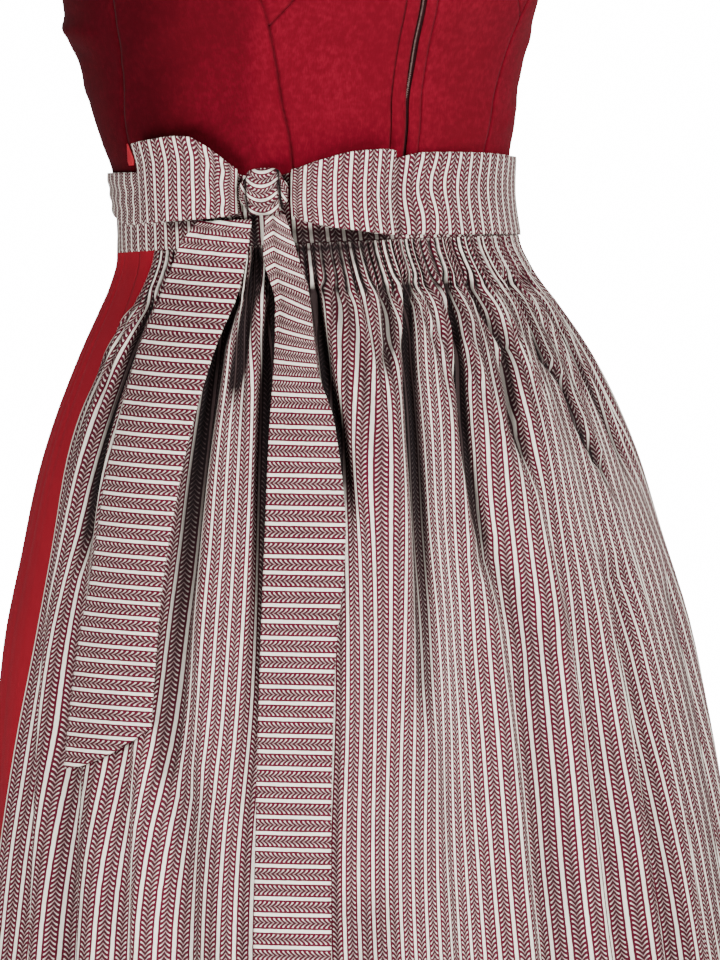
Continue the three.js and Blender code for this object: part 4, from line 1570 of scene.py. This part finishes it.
@dataclass
class Bow:
    """Bow on the wearer's right: two loops, a pleated knot and two long tails."""

    materials: Wardrobe
    cloth: float = 1.5
    knot_turn: float = -40.3
    turn_per_mm: float = 0.5
    loop_right: tuple[tuple[float, float, float, float], ...] = (
        (14.6, 11, 19, -7),
        (21, 14.8, 25.6, -8.6),
        (28.5, 18, 33.8, -9.3),
        (37, 20.5, 39.9, -9.5),
        (46, 22, 40.6, -9.6),
        (56, 21.8, 39.6, -9.7),
        (66, 20, 38.6, -9.8),
        (74, 17, 37.6, -9.8),
        (78, 12.5, 37.0, -10),
        (73, 8.5, 37.0, -9.8),
        (58, 7.4, 39, -9.4),
        (36, 7.2, 34, -8.8),
        (14.6, 7, 16.5, -7),
    )
    loop_left: tuple[tuple[float, float, float, float], ...] = (
        (14.6, 11, 17.5, -10),
        (21, 14.5, 19.5, -13.6),
        (31, 17.5, 23, -17),
        (48, 19, 26.6, -20.6),
        (62, 16, 27, -23),
        (70, 11.5, 25.6, -24.3),
        (66, 7.8, 25.6, -24),
        (50, 7.3, 26.2, -20.8),
        (31, 7.2, 23, -17),
        (14.6, 7, 17, -10),
    )
    tail_right: Table = Table(
        "height first last",
        [
            (-332, -80, -62.7), (-275, -78.6, -61.8), (-225, -76.9, -61), (-167, -76, -58.8),
            (-122, -75, -56.3), (-87, -74.2, -53.4), (-52, -72, -48.5), (-27, -68, -46),
            (-10.8, -60, -44.2),
        ],
    )
    tail_left: Table = Table(
        "height first last",
        [
            (-536, -46.5, -35.5), (-455, -45.9, -34.4), (-365, -44.9, -33.3),
            (-276, -43.6, -31.4), (-184, -42, -27.9), (-135, -41.1, -28.5), (-98, -40, -30.9),
            (-62, -39.1, -30.6), (-33, -41.8, -32.5), (-8.8, -40, -34.8),
        ],
    )
    tail_inside: Table = Table(
        "height out",
        [
            (-536, 12), (-260, 10.8), (-130, 9.8), (-100, 9.2), (-75, 7.8), (-56, 6.6),
            (-30, 6.6), (-8.8, 9),
        ],
    )

    def loop(
        self, name: str, node: str, rows: Sequence[Sequence[float]], side: int
    ) -> bpy.types.Object:
        """Makes one loop: a band that leaves the knot, turns round and comes back behind itself.

        Args:
            name: Name of the piece.
            node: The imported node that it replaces.
            rows: Along, out, top and bottom at points round the loop.
            side: 1 towards the wearer's left, -1 towards the right.

        Returns:
            The sheet.
        """
        data = np.array(rows)
        steps = np.linspace(0, len(rows) - 1, 400)
        keys = np.arange(len(rows), dtype=float)
        curve = Table("t along out top bottom", np.column_stack([keys, data]).tolist())

        def place(across: Array, along: Array) -> tuple[Array, Array]:
            """Places the loop, its pattern running evenly round it and pleated at the knot."""
            s = across if side > 0 else 1 - across
            reach = (122 + curve("out", steps[1:])) * math.radians(self.turn_per_mm)
            run = np.hypot(np.diff(curve("along", steps)) * reach, np.diff(curve("out", steps)))
            length = np.concatenate(([0], 1.03 * np.cumsum(run)))
            t = np.interp(s * length[-1], length, steps)
            distance, out = curve("along", t), curve("out", t)
            top, bottom = curve("top", t), curve("bottom", t)
            height = mix(bottom, top, along)
            near_knot = smooth(distance, 46, 14)
            pleat = 1.5 * near_knot * np.sin(along * 15 + 0.6 * np.sin(along * 7))
            pleat = pleat * smooth(s, 0, 0.05)
            uneven = 0.5 * waver(distance, height, 41 + side, 22) * smooth(out, 8, 14)
            lift = pleat * np.where(s < 0.5, 1, -0.3) + uneven
            turn = self.knot_turn + side * distance * self.turn_per_mm
            return (
                FORM.place(turn, height, out + self.cloth / 2 + lift),
                np.stack([side * s * length[-1], along * TIE_WIDTH], axis=-1) * MM,
            )

        piece = grid_object(name, 120, 44, place)
        thicken(piece, self.cloth)
        settle(piece, self.materials.stripe, [node])
        return piece

    def tail(self, name: str, node: str, table: Table, crease: Creasing) -> bpy.types.Object:
        """Makes one tail.

        Args:
            name: Name of the piece.
            node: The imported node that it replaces.
            table: Turns of its two edges at each height.
            crease: Gives a lift and a slide of the pattern for each (across, height).

        Returns:
            The sheet.
        """
        low, high = float(table.keys[0]), float(table.keys[-1])

        def place(across: Array, along: Array) -> tuple[Array, Array]:
            """Places the tail between its two edges, with its end cut on a slant."""
            height = mix(low + 22 * across**2 * (1 - smooth(along, 0, 0.12)), high, along)
            turn = mix(table("first", height), table("last", height), across)
            hanging = smooth(-height, -high, 75)
            lift, slide = crease(across, height)
            crown = 2.5 * np.sin(np.pi * across) * hanging
            out = self.tail_inside("out", height) + self.cloth + crown + lift
            cloth = np.stack([height + slide, across * TIE_WIDTH], axis=-1) * MM
            return FORM.place(turn, height, out), cloth

        piece = grid_object(name, 30, int((high - low) / 2.4), place)
        thicken(piece, self.cloth)
        settle(piece, self.materials.stripe, [node])
        return piece

    def knot(self) -> bpy.types.Object:
        """Makes the knot: a soft block with curved pleats round it.

        Returns:
            The knot.
        """
        mesh = bmesh.new()
        bmesh.ops.create_uvsphere(mesh, u_segments=72, v_segments=48, radius=1, calc_uvs=False)
        points = np.array([vertex.co for vertex in mesh.verts])
        press = lambda value, power: np.sign(value) * np.abs(value) ** power
        x, y, z = points[:, 0], points[:, 2], -points[:, 1]
        grooves = bell(x + 0.56 + 0.10 * y, 0.075) + bell(x - 0.58 + 0.12 * y, 0.075)
        core = 0.5 * np.cos(y * 9 + 5 * x * x) * (np.abs(x) < 0.5)
        ends = 0.4 * np.cos(x * 16 + 3 * y) * (np.abs(x) >= 0.5)
        pleats = core + ends + 0.7 * waver(x * 60, y * 60, 71, 22)
        along = press(x, 0.75) * 13.4
        tall = mix(14.0, 10.5, smooth(np.abs(x), 0.45, 0.75))
        deep = 7.8 - 3.6 * grooves + 0.7 * pleats
        height = 5.2 + press(y, 0.75) * tall - 1.5 * (x > 0.58)
        out = 13.2 + press(z, 0.75) * deep - 1.6 * smooth(np.abs(x), 0.5, 0.7)
        placed = FORM.place(self.knot_turn + along * self.turn_per_mm, height, out)
        sag = 0.085 * along**2
        middle = np.abs(x) < 0.57
        u = np.where(middle, height * 1.15 - sag, 1.6 * along + 0.9 * height)
        v = np.where(middle, along * 1.4, height - along)
        cloth = np.stack([u, v], axis=-1) * MM
        for vertex, point in zip(mesh.verts, placed):
            vertex.co = point
        layer = mesh.loops.layers.uv.new("cloth")
        mesh.verts.index_update()
        for face in mesh.faces:
            face.smooth = True
            for loop in face.loops:
                loop[layer].uv = cloth[loop.vert.index]
        bmesh.ops.recalc_face_normals(mesh, faces=list(mesh.faces))
        piece = object_from("knot", mesh)
        # painted shade in the knot's grooves and between its pleats
        keep_painted_shade_and_stitch_lines(piece, np.clip(1.3 * grooves + 0.35 * smooth(-pleats, 0.1, 0.5), 0, 1))
        return settle(piece, self.materials.stripe, ["bow_knot"])

    @staticmethod
    def right_crease(across: Array, height: Array) -> tuple[Array, Array]:
        """Folds and pattern slide of the right tail, which is pleated at the knot."""
        tucked = smooth(height, -70, -10)
        return -1.5 * tucked * np.abs(np.sin(across * 9)), 6.5 * across + 0.08 * height

    @staticmethod
    def left_crease(across: Array, height: Array) -> tuple[Array, Array]:
        """Works out the left tail's folds, bent along a line near its first edge.

        Args:
            across: Place across the tail, from 0 to 1.
            height: Millimetres above the waist.

        Returns:
            The lift and the slide of the pattern along the tail, in millimetres.
        """
        line = mix(0.34, 0.0, smooth(-height, 10, 104))
        upper = 1 - smooth(-height, 60, 110)
        slide = 9 * np.abs(across - line) * mix(0.35, 1.2, upper)
        return -2.6 * bell(across - line, 0.10) * upper, slide

    def build(self) -> None:
        """Makes the loops, the tails and the knot."""
        self.loop("loop_right", "bow_loop_right", self.loop_right, -1)
        self.loop("loop_left", "bow_loop_left", self.loop_left, 1)
        self.tail("tail_right", "bow_tail_right", self.tail_right, self.right_crease)
        self.tail("tail_left", "bow_tail_left", self.tail_left, self.left_crease)
        self.knot()


@dataclass
class LabelTab:
    """Small bare ribbon tab in the wearer's right side seam."""

    materials: Wardrobe

    def build(self) -> bpy.types.Object:
        """Makes the tab.

        Returns:
            The sheet.
        """

        def place(across: Array, along: Array) -> tuple[Array, Array]:
            """Places the tab, drawn together where the seam holds it."""
            height = mix(25, 38, along)
            middle = mix(-90.2, -88.4, along)
            narrow = mix(1.0, 0.12, along) * mix(0.6, 1.0, smooth(along, 0, 0.25))
            turn = middle + mix(-2.6, 2.4, across) * narrow
            out = 1.4 + 0.5 * np.sin(np.pi * across)
            return FORM.place(turn, height, out), np.stack([across * 10, height], axis=-1) * MM

        piece = grid_object("ribbon_tab", 10, 14, place)
        thicken(piece, 0.8)
        settle(piece, self.materials.ribbon, ["label_tab"])
        return piece


# ------------------------------------------------------------------ studio
@dataclass
class Studio:
    """Pale floor, soft light and the camera."""

    target: tuple[float, float, float] = (0.0172, -0.0108, -0.5591)
    azimuth: float = -32
    roll: float = -2.7
    distance: float = 16.0
    lens: float = 1000
    floor: float = -1.08
    surround: float = 0.30
    backdrop: float = 16.0
    # name, azimuth, elevation, distance, size and power of each soft box
    lights: tuple[tuple[str, float, float, float, float, float], ...] = (
        ("key", 8, 20, 2.8, 0.8, 132),
        ("fill", -60, -4, 3.0, 2.0, 8),
        ("low", -62, -8, 1.5, 0.5, 27),
        ("back", 150, 40, 3.0, 2.0, 40),
    )

    def direction(self, azimuth: float, elevation: float) -> Vector:
        """Unit vector from the target towards a place round the dress."""
        a, e = math.radians(azimuth), math.radians(elevation)
        return Vector((math.sin(a) * math.cos(e), -math.cos(a) * math.cos(e), math.sin(e)))

    def camera(self) -> None:
        """Makes the camera and hands it to the scene."""
        data = bpy.data.cameras.new("camera")
        data.lens = self.lens
        data.sensor_width = 36
        data.clip_end = 50
        camera = bpy.data.objects.new("camera", data)
        bpy.context.scene.collection.objects.link(camera)
        towards = self.direction(self.azimuth, 0)
        roll = Matrix.Rotation(math.radians(self.roll), 3, "Z")
        turned = (-towards).to_track_quat("-Z", "Y").to_matrix() @ roll
        place = Matrix.Translation(Vector(self.target) + towards * self.distance)
        camera.matrix_world = place @ turned.to_4x4()
        bpy.context.scene.camera = camera

    def light(
        self, name: str, azimuth: float, elevation: float, distance: float, size: float,
        power: float,
    ) -> None:
        """Adds one soft box that faces the dress.

        Args:
            name: Name of the light.
            azimuth: Degrees round the dress, as for the camera.
            elevation: Degrees above the target.
            distance: Metres from the target.
            size: Side of the box in metres.
            power: Watts.
        """
        data = bpy.data.lights.new(name, "AREA")
        data.size = size
        data.energy = power
        lamp = bpy.data.objects.new(name, data)
        bpy.context.scene.collection.objects.link(lamp)
        towards = self.direction(azimuth, elevation)
        turned = (-towards).to_track_quat("-Z", "Y").to_matrix().to_4x4()
        lamp.matrix_world = Matrix.Translation(Vector(self.target) + towards * distance) @ turned

    def world(self) -> None:
        """A white surround, dimmer as light than it looks."""
        world = bpy.data.worlds.new("surround")
        bpy.context.scene.world = world
        world.use_nodes = True
        net = Net(world.node_tree)
        background = world.node_tree.nodes["Background"]
        background.inputs["Color"].default_value = (1, 1, 1, 1)
        path = net.node("ShaderNodeLightPath")
        strength = net.ramp(path.outputs["Is Camera Ray"], 0, 1, self.surround, self.backdrop)
        net.feed(background.inputs["Strength"], strength)

    def ground(self) -> None:
        """A pale floor below the hem."""
        mesh = bmesh.new()
        bmesh.ops.create_grid(mesh, x_segments=2, y_segments=2, size=5)
        bmesh.ops.translate(mesh, verts=list(mesh.verts), vec=(0, 0, self.floor))
        floor = object_from("floor", mesh)
        material = bpy.data.materials.new("pale_floor")
        material.use_nodes = True
        shader = material.node_tree.nodes["Principled BSDF"]
        shader.inputs["Base Color"].default_value = (0.86, 0.86, 0.86, 1)
        shader.inputs["Roughness"].default_value = 0.9
        floor.data.materials.append(material)

    def build(self) -> None:
        """Sets up floor, surround, lights and camera."""
        self.ground()
        self.world()
        for light in self.lights:
            self.light(*light)
        self.camera()


def main() -> None:
    """Builds the dress piece by piece."""
    logging.basicConfig(level=logging.INFO, format="%(name)s %(message)s")
    materials = Wardrobe()
    skirt = Skirt(materials)
    for part in (
        Bodice(materials),
        Zip(materials),
        skirt,
        Apron(materials, skirt),
        Ties(materials),
        Bow(materials),
        LabelTab(materials),
        Studio(),
    ):
        LOG.info("building %s", type(part).__name__)
        part.build()


if __name__ == "__main__":
    main()
